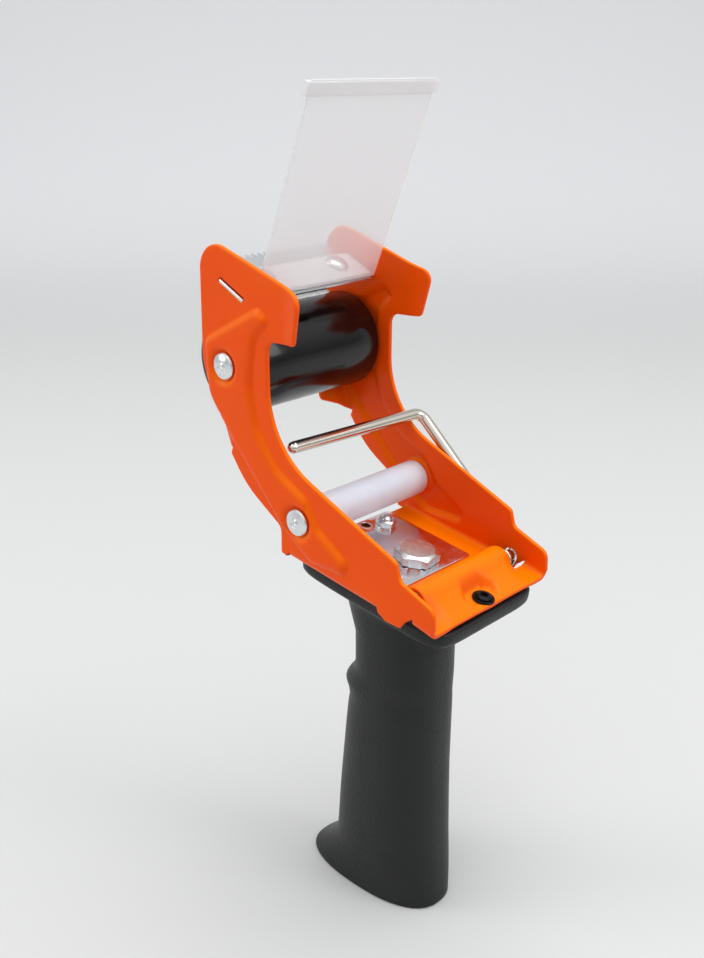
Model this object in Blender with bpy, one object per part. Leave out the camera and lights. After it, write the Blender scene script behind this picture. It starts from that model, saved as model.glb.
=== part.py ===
# Hand-held tape dispenser for 50 mm parcel tape: bent sheet frame on a pistol grip, two rollers,
# serrated blade with a clear guard flap, and a sprung wire arm that holds the roll.
# Lengths below are in millimetres and are turned to metres when a mesh is made.
# World axes: +Z up, Y across the tape, -X the cutting end, +X the rear lip.
# The origin is on the table, under the middle of the grip.

import math

import bmesh
import bpy
from mathutils import Vector

MM = 0.001

# Sheet frame
INNER_WIDTH = 52.0
SHEET = 1.5
HALF_INNER = INNER_WIDTH / 2
HALF_OUTER = HALF_INNER + SHEET
HALF_MIDDLE = HALF_INNER + SHEET / 2
BEND_RADIUS = 2.25
FLOOR_TILT = 8.0
FLOOR_ORIGIN = (2.5, 120.2)
FLOOR_FRONT = -17.0
FLOOR_REAR = 19.5
BEND_START = SHEET / 2 + BEND_RADIUS
BEND_STEPS = 4
HUMP_HALF_WIDTH = 20.0
HUMP_RADIUS = 4.2
LIP_FRONT = (35.4, 117.6)
LIP_REAR = (42.5, 115.9)
LIP_BEND_FRONT = (35.9, 119.9)
LIP_BEND_REAR = (43.0, 118.2)
EAR_TOP = (-43.9, 162.0)
EAR_LOW = (-40.0, 152.0)
FLARE_LINE_X = -13.5
FLARE_ANGLE = 16.0
EAR_REACH = 13.0

# Gaps between touching pieces, and between turning ones
GAP = 0.3
RUN = 0.4

# Rollers and their axles
FRONT_AXLE = (-40.2, 177.7)
GUIDE_AXLE = (-9.3, 135.8)
AXLE_RADIUS = 3.0
RIVET_HEAD_RADIUS = 4.2
RIVET_HEAD_HEIGHT = 1.7
FRONT_ROLLER_RADIUS = 15.5
FRONT_ROLLER_LENGTH = 49.0
RUBBER_WALL = 2.5
GUIDE_ROLLER_RADIUS = 5.7
GUIDE_ROLLER_LENGTH = 51.0
SPACER_RADIUS = 6.0
SPACER_THICKNESS = 0.8

# Blade, bracket and guard, on a plane that leans down towards the rear
BLADE_ORIGIN = (-28.0, 197.0)
BLADE_TILT = 25.7
BRACKET_DEPTH = 17.5
BRACKET_THICKNESS = 1.0
TAB_START = 3.6
TAB_END = 14.8
BLADE_THICKNESS = 0.6
BLADE_DEPTH = 20.5
TOOTH_HEIGHT = 2.6
TOOTH_PITCH = 2.5
GUARD_THICKNESS = 1.0
GUARD_WIDTH = 50.4
GUARD_LEAN = 21.7
FLAP_LENGTH = 63.3
FLAP_STRIP_WIDTH = 53.2
FLAP_STRIP_HEIGHT = 4.0
FLAP_STRIP_THICKNESS = 2.0
GUARD_BASE_DEPTH = 14.0
GUARD_RIVET_Y = 15.5
GUARD_RIVET_X = -9.4
GUARD_RIVET_RADIUS = 1.5
GUARD_HEAD_RADIUS = 3.7
HINGE = (-27.9, 199.9)

# Wire arm
ARM_PIVOT = (29.5, 119.6)
ARM_BAR = (-11.5, 156.3)
ARM_WIRE_RADIUS = 1.9
ARM_BEND_RADIUS = 3.4
ARM_OUTSIDE_Y = 30.2
ARM_TIP_Y = -22.0
ARM_TIP_SHIFT = -4.4
ARM_ROD_END_Y = -18.0
SPRING_WIRE_RADIUS = 0.5
SPRING_START_Y = 3.6
SPRING_TURNS = 10
SPRING_PITCH = 2.1

# Grip
GRIP_HALF_WIDTH = 14.0
FLANGE_FRONT = -18.0
FLANGE_REAR = 40.6
FLANGE_HALF_WIDTH = 24.0
FLANGE_THICKNESS = 4.6
BOLT_S = 11.2
BOLT_SHANK_RADIUS = 4.0
BOLT_SHANK_LENGTH = 26.0
BOLT_HEAD_ACROSS_CORNERS = 14.4
BOLT_HEAD_HEIGHT = 3.6
BOLT_TURN = 6.0
INSERT_RADIUS = 6.5
INSERT_LENGTH = 20.0
PLATE_HALF_WIDTH = 16.2
PLATE_FRONT = -16.0
PLATE_REAR = 19.0
PLATE_THICKNESS = 1.5
STUD_S = -9.6
STUD_SPREAD = 8.4
STUD_RADIUS = 1.7
STUD_NUT_ACROSS_CORNERS = 6.8
STUD_NUT_HEIGHT = 2.2
STUD_RISE = 3.4
LIP_SCREW_PLACE = (38.9, 116.76)
LIP_TILT = 13.5
LIP_SCREW_RADIUS = 1.9
LIP_SCREW_HEAD_RADIUS = 3.4


def material(name, colour, roughness, metallic=0.0, alpha=1.0):
    made = bpy.data.materials.new(name)
    made.use_nodes = True
    shader = made.node_tree.nodes["Principled BSDF"]
    shader.inputs["Base Color"].default_value = (*colour, 1.0)
    shader.inputs["Roughness"].default_value = roughness
    shader.inputs["Metallic"].default_value = metallic
    shader.inputs["Alpha"].default_value = alpha
    made.diffuse_color = (*colour, alpha)
    return made


def rounded(corners, step=18.0):
    """Turn (a, b, radius) corners into points, each radius drawn as an arc."""
    points = []
    count = len(corners)
    for index, (a, b, radius) in enumerate(corners):
        here = Vector((a, b))
        before = Vector(corners[index - 1][:2]) - here
        after = Vector(corners[(index + 1) % count][:2]) - here
        if radius <= 0:
            points.append((a, b))
            continue
        before.normalize()
        after.normalize()
        half = before.angle(after) / 2
        reach = radius / math.tan(half)
        centre = here + (before + after).normalized() * (radius / math.sin(half))
        start = here + before * reach - centre
        sweep = math.pi - 2 * half
        side = 1.0 if before.cross(after) < 0 else -1.0
        pieces = max(1, round(math.degrees(sweep) / step))
        for k in range(pieces + 1):
            angle = side * sweep * k / pieces
            cos, sin = math.cos(angle), math.sin(angle)
            points.append((centre.x + start.x * cos - start.y * sin,
                           centre.y + start.x * sin + start.y * cos))
    return points


def new_object(name, bm, look, origin=(0, 0, 0), datum=None, smooth=40.0):
    """Make an object from a bmesh in millimetres, measured from the object's own origin."""
    bmesh.ops.recalc_face_normals(bm, faces=bm.faces)
    bmesh.ops.scale(bm, vec=(MM, MM, MM), verts=bm.verts)
    mesh = bpy.data.meshes.new(name)
    bm.to_mesh(mesh)
    bm.free()
    if smooth:
        mesh.shade_smooth()
        mesh.set_sharp_from_angle(angle=math.radians(smooth))
    obj = bpy.data.objects.new(name, mesh)
    obj.location = [value * MM for value in origin]
    obj.parent = datum
    mesh.materials.append(look)
    bpy.context.collection.objects.link(obj)
    return obj


def prism(points, low, high, axis="Z"):
    """Extrude an outline. On Z the points are (x, y), on Y they are (x, z), on X they are (y, z)."""
    order = {"Z": lambda a, b, h: (a, b, h), "Y": lambda a, b, h: (a, h, b), "X": lambda a, b, h: (h, a, b)}
    bm = bmesh.new()
    ends = [[bm.verts.new(order[axis](a, b, height)) for a, b in points] for height in (low, high)]
    for ring in ends:
        bm.faces.new(ring)
    for index in range(len(points)):
        after = (index + 1) % len(points)
        bm.faces.new((ends[0][index], ends[0][after], ends[1][after], ends[1][index]))
    return bm


def turned(profile, segments=24, axis="Y", closed=False):
    """Turn a profile of (radius, height) about an axis. A closed profile makes a ring."""
    order = {"Y": lambda c, s, h: (c, h, s), "Z": lambda c, s, h: (c, s, h)}
    bm = bmesh.new()
    rings = []
    for radius, height in profile:
        if radius == 0:
            rings.append([bm.verts.new(order[axis](0, 0, height))])
            continue
        ring = []
        for k in range(segments):
            angle = 2 * math.pi * k / segments
            ring.append(bm.verts.new(order[axis](radius * math.cos(angle), radius * math.sin(angle), height)))
        rings.append(ring)
    pairs = list(zip(rings, rings[1:]))
    if closed:
        pairs.append((rings[-1], rings[0]))
    for low, high in pairs:
        for k in range(segments):
            after = (k + 1) % segments
            corners = [low[k % len(low)], low[after % len(low)], high[after % len(high)], high[k % len(high)]]
            bm.faces.new(list(dict.fromkeys(corners)))
    return bm


def loft(rings):
    """Skin closed rings of equal point count and cap both ends."""
    bm = bmesh.new()
    levels = [[bm.verts.new(point) for point in ring] for ring in rings]
    bm.faces.new(levels[0])
    bm.faces.new(levels[-1])
    for low, high in zip(levels, levels[1:]):
        for k in range(len(low)):
            after = (k + 1) % len(low)
            bm.faces.new((low[k], low[after], high[after], high[k]))
    return bm


def hexagon(across_corners, start=0.0):
    radius = across_corners / 2
    return [(radius * math.cos(math.radians(start + 60 * k)), radius * math.sin(math.radians(start + 60 * k)))
            for k in range(6)]


def circle(radius, segments=20, centre=(0, 0)):
    return [(centre[0] + radius * math.cos(2 * math.pi * k / segments),
             centre[1] + radius * math.sin(2 * math.pi * k / segments)) for k in range(segments)]


def cut(target, bm, origin=(0, 0, 0), datum=None, operation="DIFFERENCE"):
    """Take a closed shape away from a piece, or add it, with a hidden Boolean cutter."""
    cutter = new_object("cutter_" + target.name, bm, target.data.materials[0], origin, datum)
    cutter.hide_render = True
    cutter.display_type = "WIRE"
    change = target.modifiers.new("cut", "BOOLEAN")
    change.operation = operation
    change.solver = "EXACT"
    change.object = cutter
    return cutter


def add_datum(name, x, z, tilt):
    """An empty that carries the pieces of one tilted plane."""
    empty = bpy.data.objects.new(name, None)
    empty.location = (x * MM, 0, z * MM)
    empty.rotation_euler = (0, math.radians(tilt), 0)
    bpy.context.collection.objects.link(empty)
    return empty


def on_floor(s, height):
    """World (x, z) of a point at distance s along the floor and a height over its underside."""
    tilt = math.radians(FLOOR_TILT)
    return (FLOOR_ORIGIN[0] + s * math.cos(tilt) + height * math.sin(tilt),
            FLOOR_ORIGIN[1] - s * math.sin(tilt) + height * math.cos(tilt))



def cheek_outline():
    """Outline of one cheek as (x, z, radius), from the rear end of the floor bend round to its front end."""
    top_slope = -0.3134
    flare_top = 213.3 + (FLARE_LINE_X + 40.3) * top_slope
    return [
        (*on_floor(FLOOR_REAR, BEND_START), 0), (22.4, 117.2, 0), (25.2, 115.5, 1.5), (30.6, 115.2, 0),
        (32.0, 117.2, 0), (34.2, 119.0, 0), (*LIP_BEND_FRONT, 0), (*LIP_BEND_REAR, 0),
        (42.7, 124.6, 3.5), (30.3, 129.6, 2.5), (28.9, 134.7, 2.0),
        (-21.8, 156.3, 27.0), (-21.8, 188.2, 3.5), (FLARE_LINE_X, 188.5, 0),
        (FLARE_LINE_X, flare_top, 0), (-50.3, 216.4, 8.0),
        (-51.1, 176.2, 20.0), (*EAR_TOP, 0), (*EAR_LOW, 0), (-32.4, 141.2, 30.0),
        (-17.2, 131.8, 3.0), (-17.3, 123.4, 1.5), (-14.6, 123.0, 0), (*on_floor(FLOOR_FRONT, BEND_START), 0),
    ]


def hump_profile():
    """Middle line of the sheet from the floor over the arm's pivot to the lip, as (x, z)."""
    points = [on_floor(FLOOR_REAR + 1.2, SHEET / 2), (25.1, 119.6)]
    for angle in range(150, 29, -20):
        points.append((ARM_PIVOT[0] + HUMP_RADIUS * math.cos(math.radians(angle)),
                       ARM_PIVOT[1] + HUMP_RADIUS * math.sin(math.radians(angle))))
    return points + [(34.0, 119.8), (34.3, 118.0)]


def nearest(verts, point):
    return min(verts, key=lambda v: (v.co.x - point[0]) ** 2 + (v.co.z - point[1]) ** 2)


def add_cheek(bm, side):
    """One cheek with its flared hook and its ear. Returns the outline's vertices."""
    middle_y = side * HALF_MIDDLE
    verts = [bm.verts.new((x, middle_y, z)) for x, z in rounded(cheek_outline(), 9.0)]
    bm.faces.new(verts)
    fold = sorted((v for v in verts if abs(v.co.x - FLARE_LINE_X) < 0.01), key=lambda v: -v.co.z)
    hook = rounded([(FLARE_LINE_X, 204.9, 0), (-6.6, 202.8, 4.0), (-9.9, 188.7, 1.5), (FLARE_LINE_X, 188.5, 0)])
    outward = side * math.tan(math.radians(FLARE_ANGLE))
    tip = [bm.verts.new((x, middle_y + (x - FLARE_LINE_X) * outward, z)) for x, z in hook[1:-1]]
    bm.faces.new([fold[0], *tip, fold[1]])
    ear = [bm.verts.new((x, middle_y - side * reach, z)) for x, z, reach in
           ((-43.5, 161.2, EAR_REACH - 0.8), (-42.9, 159.6, EAR_REACH), (-42.2, 157.7, EAR_REACH - 1.0),
            (-40.7, 153.8, 4.5))]
    bm.faces.new([nearest(verts, EAR_TOP), *ear, nearest(verts, EAR_LOW)])
    return verts


def add_bend(bm, side, cheek_verts, low_points):
    """Quarter round from two cheek vertices down to the floor. Returns its two vertices on the floor."""
    rows = []
    for vert, (low_x, low_z) in zip(cheek_verts, low_points):
        rise = Vector((vert.co.x - low_x, 0, vert.co.z - low_z))
        row = [vert]
        for k in range(1, BEND_STEPS + 1):
            angle = math.pi / 2 * k / BEND_STEPS
            spot = Vector((low_x, 0, low_z)) + rise * (1 - math.sin(angle))
            spot.y = side * (HALF_MIDDLE - BEND_RADIUS * (1 - math.cos(angle)))
            row.append(bm.verts.new(spot))
        rows.append(row)
    for k in range(BEND_STEPS):
        bm.faces.new((rows[0][k], rows[0][k + 1], rows[1][k + 1], rows[1][k]))
    return rows[0][-1], rows[1][-1]


def make_frame(look):
    """The whole sheet as a middle surface, thickened afterwards."""
    bm = bmesh.new()
    floor_ends = {}
    lip_ends = {}
    front = on_floor(FLOOR_FRONT, SHEET / 2)
    rear = on_floor(FLOOR_REAR, SHEET / 2)
    for side in (-1, 1):
        verts = add_cheek(bm, side)
        bend_tops = [nearest(verts, on_floor(s, BEND_START)) for s in (FLOOR_FRONT, FLOOR_REAR)]
        floor_ends[side] = add_bend(bm, side, bend_tops, (front, rear))
        lip_tops = [nearest(verts, point) for point in (LIP_BEND_FRONT, LIP_BEND_REAR)]
        lip_ends[side] = add_bend(bm, side, lip_tops, (LIP_FRONT, LIP_REAR))
    profile = hump_profile()
    hump = [[bm.verts.new((x, y, z)) for x, z in profile] for y in (-HUMP_HALF_WIDTH, HUMP_HALF_WIDTH)]
    bridge = [bm.verts.new((rear[0], y, rear[1])) for y in (-HUMP_HALF_WIDTH, HUMP_HALF_WIDTH)]
    bm.faces.new((floor_ends[-1][0], floor_ends[-1][1], *bridge, floor_ends[1][1], floor_ends[1][0]))
    bm.faces.new((bridge[0], hump[0][0], hump[1][0], bridge[1]))
    for k in range(len(profile) - 1):
        bm.faces.new((hump[0][k], hump[0][k + 1], hump[1][k + 1], hump[1][k]))
    bm.faces.new((*lip_ends[-1], lip_ends[1][1], lip_ends[1][0], hump[1][-1], hump[0][-1]))
    frame = new_object("frame", bm, look, smooth=None)
    sheet = frame.modifiers.new("sheet", "SOLIDIFY")
    sheet.thickness = SHEET * MM
    sheet.offset = 0
    sheet.solidify_mode = "NON_MANIFOLD"
    sheet.nonmanifold_thickness_mode = "CONSTRAINTS"
    for axle in (FRONT_AXLE, GUIDE_AXLE):
        cut(frame, prism(circle(AXLE_RADIUS + GAP), -30, 30, "Y"), (axle[0], 0, axle[1]))
    cut(frame, prism(circle(ARM_WIRE_RADIUS + RUN), 10, 30, "Y"), (ARM_PIVOT[0], 0, ARM_PIVOT[1]))
    slot = [(-TAB_END - GAP, -0.8), (-TAB_START + GAP, -0.8), (-TAB_START + GAP, 0.8), (-TAB_END - GAP, 0.8)]
    cut(frame, prism(slot, -30, 30, "Y"), datum=bpy.data.objects["blade_datum"])
    on_plane = bpy.data.objects["floor_datum"]
    cut(frame, prism(circle(BOLT_SHANK_RADIUS + GAP), -4, 4), (BOLT_S, 0, 0), on_plane)
    for side in (-1, 1):
        cut(frame, prism(circle(STUD_RADIUS + GAP, 16), -4, 4), (STUD_S, side * STUD_SPREAD, 0), on_plane)
    cut(frame, prism(circle(LIP_SCREW_RADIUS + GAP, 16), -2, 2), datum=bpy.data.objects["lip_datum"])
    return frame


def make_grip(look):
    """Pistol grip with a toe, a finger stop and a wide flange under the floor."""
    # height, front and back of each ring of the grip
    profile = ((0.0, -25.2, 26.9), (0.8, -26.2, 27.8), (2.0, -25.2, 27.8), (4.3, -22.4, 27.7), (7.0, -19.8, 27.5),
               (9.8, -17.6, 27.3), (13.0, -15.4, 27.1), (17.0, -14.2, 26.8), (24.0, -13.6, 26.4),
               (36.0, -12.6, 25.9), (48.0, -11.3, 25.5), (60.0, -10.0, 25.2), (68.0, -9.0, 25.2),
               (71.5, -8.5, 25.2), (74.5, -9.0, 25.2), (77.0, -10.0, 25.2), (79.5, -8.4, 25.2),
               (83.0, -6.0, 25.2), (88.0, -5.6, 25.2), (96.0, -5.7, 25.2), (102.0, -7.4, 25.2))
    rings = []
    for z, front, back in profile:
        shrink = 1.0 if z == 0 else 0.0
        rings.append([(x, y, z) for x, y in oval(front, back, GRIP_HALF_WIDTH - shrink, 2.4)])
    under = -GAP
    for s_front, s_rear, half_width, depth, power in (
            (-12.0, 25.0, 15.2, 12.4, 2.5), (-15.2, 28.0, 18.0, 8.6, 3.2), (-16.8, 34.0, 21.4, 6.0, 5.0),
            (FLANGE_FRONT + 0.6, FLANGE_REAR - 0.8, FLANGE_HALF_WIDTH - 0.8, FLANGE_THICKNESS, 9.0),
            (FLANGE_FRONT, FLANGE_REAR, FLANGE_HALF_WIDTH, FLANGE_THICKNESS - 1.0, 9.0),
            (FLANGE_FRONT, FLANGE_REAR, FLANGE_HALF_WIDTH, 0.0, 9.0)):
        ring = []
        for s, y in oval(s_front, s_rear, half_width, power):
            x, z = on_floor(s, under - depth)
            ring.append((x, y, z))
        rings.append(ring)
    grip = new_object("handle", loft(rings), look)
    on_plane = bpy.data.objects["floor_datum"]
    cut(grip, prism(circle(INSERT_RADIUS + GAP), -INSERT_LENGTH - 1.0, 2.0), (BOLT_S, 0, 0), on_plane)
    cut(grip, prism(circle(BOLT_SHANK_RADIUS + GAP), -BOLT_SHANK_LENGTH - 1.0, 2.0), (BOLT_S, 0, 0), on_plane)
    for side in (-1, 1):
        cut(grip, prism(circle(STUD_RADIUS + GAP, 16), -9.0, 2.0), (STUD_S, side * STUD_SPREAD, 0), on_plane)
    cut(grip, prism(circle(LIP_SCREW_RADIUS + GAP, 16), -9.0, 2.0), datum=bpy.data.objects["lip_datum"])
    return grip


def oval(front, rear, half_width, power, count=32):
    """Superellipse between two ends along the grip, as (along, y)."""
    centre = (front + rear) / 2
    half_length = (rear - front) / 2
    points = []
    for k in range(count):
        angle = 2 * math.pi * (k + 0.5) / count
        cos, sin = math.cos(angle), math.sin(angle)
        points.append((centre + half_length * math.copysign(abs(cos) ** (2 / power), cos),
                       half_width * math.copysign(abs(sin) ** (2 / power), sin)))
    return points


def make_fasteners(zinc, steel, black):
    on_plane = bpy.data.objects["floor_datum"]
    plate_outline = rounded([(PLATE_FRONT, -PLATE_HALF_WIDTH, 2), (PLATE_REAR, -PLATE_HALF_WIDTH, 1),
                             (PLATE_REAR, PLATE_HALF_WIDTH, 1), (PLATE_FRONT, PLATE_HALF_WIDTH, 2)], 30)
    low = SHEET + GAP
    plate = new_object("floor_plate", prism(plate_outline, low, low + PLATE_THICKNESS), zinc, datum=on_plane)
    cut(plate, prism(circle(BOLT_SHANK_RADIUS + GAP), 0, 6), (BOLT_S, 0, 0), on_plane)
    for side in (-1, 1):
        cut(plate, prism(circle(STUD_RADIUS + GAP, 16), 0, 6), (STUD_S, side * STUD_SPREAD, 0), on_plane)
    seat = low + PLATE_THICKNESS + GAP

    head = prism(hexagon(BOLT_HEAD_ACROSS_CORNERS, BOLT_TURN), seat, seat + BOLT_HEAD_HEIGHT)
    bolt = new_object("handle_bolt", head, steel, (BOLT_S, 0, 0), on_plane)
    shank = prism(circle(BOLT_SHANK_RADIUS, 20), -BOLT_SHANK_LENGTH, seat + 1.0)
    cut(bolt, shank, (BOLT_S, 0, 0), on_plane, "UNION")

    bush = [(BOLT_SHANK_RADIUS + GAP, -INSERT_LENGTH), (INSERT_RADIUS, -INSERT_LENGTH),
            (INSERT_RADIUS, -GAP - 0.5), (BOLT_SHANK_RADIUS + GAP, -GAP - 0.5)]
    new_object("handle_insert", turned(bush, 20, "Z", True), zinc, (BOLT_S, 0, 0), on_plane)

    for side, name in ((-1, "near"), (1, "far")):
        place = (STUD_S, side * STUD_SPREAD, 0)
        new_object(f"{name}_stud", turned([(0, -8.0), (STUD_RADIUS, -8.0), (STUD_RADIUS, seat + STUD_RISE - 0.6),
                                           (STUD_RADIUS - 0.6, seat + STUD_RISE), (0, seat + STUD_RISE)], 12, "Z"),
                   steel, place, on_plane)
        nut = prism(hexagon(STUD_NUT_ACROSS_CORNERS, 12.0), seat, seat + STUD_NUT_HEIGHT)
        nut = new_object(f"{name}_stud_nut", nut, zinc, place, on_plane)
        cut(nut, prism(circle(STUD_RADIUS + GAP, 12), 0, 12), place, on_plane)

    seat = SHEET / 2 + GAP
    screw = turned([(0, -7.0), (LIP_SCREW_RADIUS, -7.0), (LIP_SCREW_RADIUS, seat), (LIP_SCREW_HEAD_RADIUS, seat),
                    (LIP_SCREW_HEAD_RADIUS - 0.3, seat + 1.0), (LIP_SCREW_HEAD_RADIUS - 1.4, seat + 1.8),
                    (0, seat + 2.2)], 20, "Z")
    new_object("lip_screw", screw, black, datum=bpy.data.objects["lip_datum"])


def make_axle(name, centre, look):
    """Through rivet: a rod with a domed head outside each cheek."""
    face = HALF_OUTER + GAP
    half = [(AXLE_RADIUS, 0.0), (AXLE_RADIUS, face), (RIVET_HEAD_RADIUS, face), (RIVET_HEAD_RADIUS, face + 0.7),
            (RIVET_HEAD_RADIUS - 1.0, face + 1.5), (0, face + RIVET_HEAD_HEIGHT)]
    profile = [(radius, -y) for radius, y in reversed(half)] + half[1:]
    return new_object(name, turned(profile, 20), look, (centre[0], 0, centre[1]))


def tube(outer, inner, low, high, segments=28):
    return turned([(inner, low), (outer, low), (outer, high), (inner, high)], segments, "Y", True)


def make_rollers(rubber, plastic, nylon, zinc):
    front = (FRONT_AXLE[0], 0, FRONT_AXLE[1])
    guide = (GUIDE_AXLE[0], 0, GUIDE_AXLE[1])
    make_axle("front_axle", FRONT_AXLE, zinc)
    make_axle("guide_axle", GUIDE_AXLE, zinc)
    half = FRONT_ROLLER_LENGTH / 2
    core_radius = FRONT_ROLLER_RADIUS - RUBBER_WALL
    new_object("front_roller_rubber", tube(FRONT_ROLLER_RADIUS, core_radius, -half, half, 40), rubber, front)
    new_object("front_roller_core", tube(core_radius - GAP, AXLE_RADIUS + RUN, -half + 0.4, half - 0.4), plastic, front)
    for side, name in ((-1, "near"), (1, "far")):
        outside = HALF_INNER - GAP
        low, high = sorted((side * outside, side * (outside - SPACER_THICKNESS)))
        new_object(f"front_spacer_{name}", tube(SPACER_RADIUS, AXLE_RADIUS + GAP, low, high, 20), nylon, front)
    half = GUIDE_ROLLER_LENGTH / 2
    new_object("guide_roller", tube(GUIDE_ROLLER_RADIUS, AXLE_RADIUS + RUN, -half, half, 24), nylon, guide)


def make_blade(zinc, steel):
    """Bracket with a tab through each cheek, and the toothed strip that lies on it."""
    on_plane = bpy.data.objects["blade_datum"]
    wall = HALF_INNER - 2 * GAP
    tab = HALF_OUTER + 0.1
    half = [(0, wall), (-TAB_START, wall), (-TAB_START, tab), (-TAB_END, tab), (-TAB_END, wall), (-BRACKET_DEPTH, wall)]
    outline = [(x, -y) for x, y in reversed(half)] + half
    bracket = new_object("blade_bracket", prism(outline, -BRACKET_THICKNESS / 2, BRACKET_THICKNESS / 2), zinc,
                         datum=on_plane)
    rail = rounded([(-24.6, -0.3, 0), (-24.6, -2.9, 0.5), (5.0, -2.9, 0.3), (5.0, -0.3, 0), (3.6, -0.3, 0),
                    (3.6, -1.9, 0.8), (-23.2, -1.9, 0.8), (-23.2, -0.3, 0)], 30)
    cut(bracket, prism(rail, -0.9, -0.1, "X"), datum=on_plane, operation="UNION")

    teeth = round(2 * (wall - 0.2) / TOOTH_PITCH)
    pitch = 2 * (wall - 0.2) / teeth
    edge = wall - 0.2
    outline = [(-1.0, edge), (-1.0, -edge)]
    for k in range(teeth):
        outline += [(-BLADE_DEPTH, k * pitch - edge), (-BLADE_DEPTH - TOOTH_HEIGHT, (k + 0.5) * pitch - edge)]
    outline.append((-BLADE_DEPTH, edge))
    low = BRACKET_THICKNESS / 2 + GAP
    blade = new_object("blade", prism(outline, low, low + BLADE_THICKNESS), steel, datum=on_plane)
    for piece in (bracket, blade):
        for side in (-1, 1):
            hole = prism(circle(GUARD_RIVET_RADIUS + GAP, 14), -3, 6)
            cut(piece, hole, (GUARD_RIVET_X, side * GUARD_RIVET_Y, 0), on_plane)


def make_guard(clear, zinc):
    """Clear guard: a riveted base, and the flap that flexes at the bend between them."""
    on_plane = bpy.data.objects["blade_datum"]
    low = BRACKET_THICKNESS / 2 + 2 * GAP + BLADE_THICKNESS
    top = low + GUARD_THICKNESS
    half = GUARD_WIDTH / 2
    outline = rounded([(-1.2, -half, 0), (-1.2, half, 0), (-GUARD_BASE_DEPTH, half, 1), (-GUARD_BASE_DEPTH, -half, 1)], 30)
    base = new_object("guard_base", prism(outline, low, top), clear, datum=on_plane)
    shank = GUARD_RIVET_RADIUS
    foot = -BRACKET_THICKNESS / 2 - GAP
    seat = top + GAP
    for side, name in ((-1, "near"), (1, "far")):
        place = (GUARD_RIVET_X, side * GUARD_RIVET_Y, 0)
        cut(base, prism(circle(shank + GAP, 14), 0, 6), place, on_plane)
        profile = [(0, foot - 0.9), (shank + 0.8, foot - 0.9), (shank + 1.1, foot), (shank, foot), (shank, seat),
                   (GUARD_HEAD_RADIUS, seat), (GUARD_HEAD_RADIUS - 0.6, seat + 0.9), (1.8, seat + 1.5), (0, seat + 1.7)]
        new_object(f"guard_rivet_{name}", turned(profile, 18, "Z"), zinc, place, on_plane)

    on_hinge = bpy.data.objects["hinge_datum"]
    flap = new_object("guard_flap", prism([(-GUARD_THICKNESS, 0.7), (0, 0.7), (0, FLAP_LENGTH - 1),
                                           (-GUARD_THICKNESS, FLAP_LENGTH - 1)], -half, half, "Y"),
                      clear, datum=on_hinge)
    low = FLAP_LENGTH - FLAP_STRIP_HEIGHT
    middle = -GUARD_THICKNESS / 2
    reach = FLAP_STRIP_THICKNESS / 2
    strip = rounded([(middle - reach, low, 0.4), (middle + reach, low, 0.4), (middle + reach, FLAP_LENGTH, 0.6),
                     (middle - reach, FLAP_LENGTH, 0.6)], 45)
    cut(flap, prism(strip, -FLAP_STRIP_WIDTH / 2, FLAP_STRIP_WIDTH / 2, "Y"), datum=on_hinge, operation="UNION")


def sweep(path, radius, sides):
    """Round wire along a path, capped at both ends."""
    path = [Vector(point) for point in path]
    rings = []
    side = None
    for k, point in enumerate(path):
        ahead = path[min(k + 1, len(path) - 1)] - path[max(k - 1, 0)]
        ahead.normalize()
        if side is None:
            side = ahead.orthogonal().normalized()
        side = (side - ahead * side.dot(ahead)).normalized()
        up = ahead.cross(side)
        ring = []
        for j in range(sides):
            angle = 2 * math.pi * j / sides
            ring.append(point + side * radius * math.cos(angle) + up * radius * math.sin(angle))
        rings.append(ring)
    return loft(rings)


def bent(corners, radius, steps=6):
    """A wire's middle line: straight runs joined by round bends of one radius."""
    corners = [Vector(corner) for corner in corners]
    points = [corners[0]]
    for before, here, after in zip(corners, corners[1:], corners[2:]):
        back = (before - here).normalized()
        ahead = (after - here).normalized()
        half = back.angle(ahead) / 2
        centre = here + (back + ahead).normalized() * (radius / math.sin(half))
        start = here + back * (radius / math.tan(half)) - centre
        end = here + ahead * (radius / math.tan(half)) - centre
        for k in range(steps + 1):
            points.append(centre + start.slerp(end, k / steps).normalized() * radius)
    return points + [corners[-1]]


def make_arm(steel, zinc):
    """Sprung wire arm. Its rod turns under the hump and its bar goes through the roll's core."""
    place = (ARM_PIVOT[0], 0, ARM_PIVOT[1])
    bar_x = ARM_BAR[0] - ARM_PIVOT[0]
    bar_z = ARM_BAR[1] - ARM_PIVOT[1]
    corners = [(0, ARM_ROD_END_Y, 0), (0, ARM_OUTSIDE_Y, 0), (bar_x, ARM_OUTSIDE_Y, bar_z),
               (bar_x + ARM_TIP_SHIFT, ARM_TIP_Y, bar_z)]
    new_object("tape_arm", sweep(bent(corners, ARM_BEND_RADIUS), ARM_WIRE_RADIUS, 12), steel, place)
    ring = tube(ARM_WIRE_RADIUS + 1.1, ARM_WIRE_RADIUS + GAP, ARM_ROD_END_Y + 1.0, ARM_ROD_END_Y + 2.0, 16)
    new_object("arm_retainer", ring, zinc, place)
    coil_radius = ARM_WIRE_RADIUS + GAP + SPRING_WIRE_RADIUS
    count = 14
    coil = []
    for k in range(SPRING_TURNS * count + 1):
        angle = 2 * math.pi * k / count
        coil.append((coil_radius * math.cos(angle), SPRING_START_Y + SPRING_PITCH * k / count,
                     coil_radius * math.sin(angle)))
    new_object("arm_spring", sweep(coil, SPRING_WIRE_RADIUS, 6), steel, place)


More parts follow.
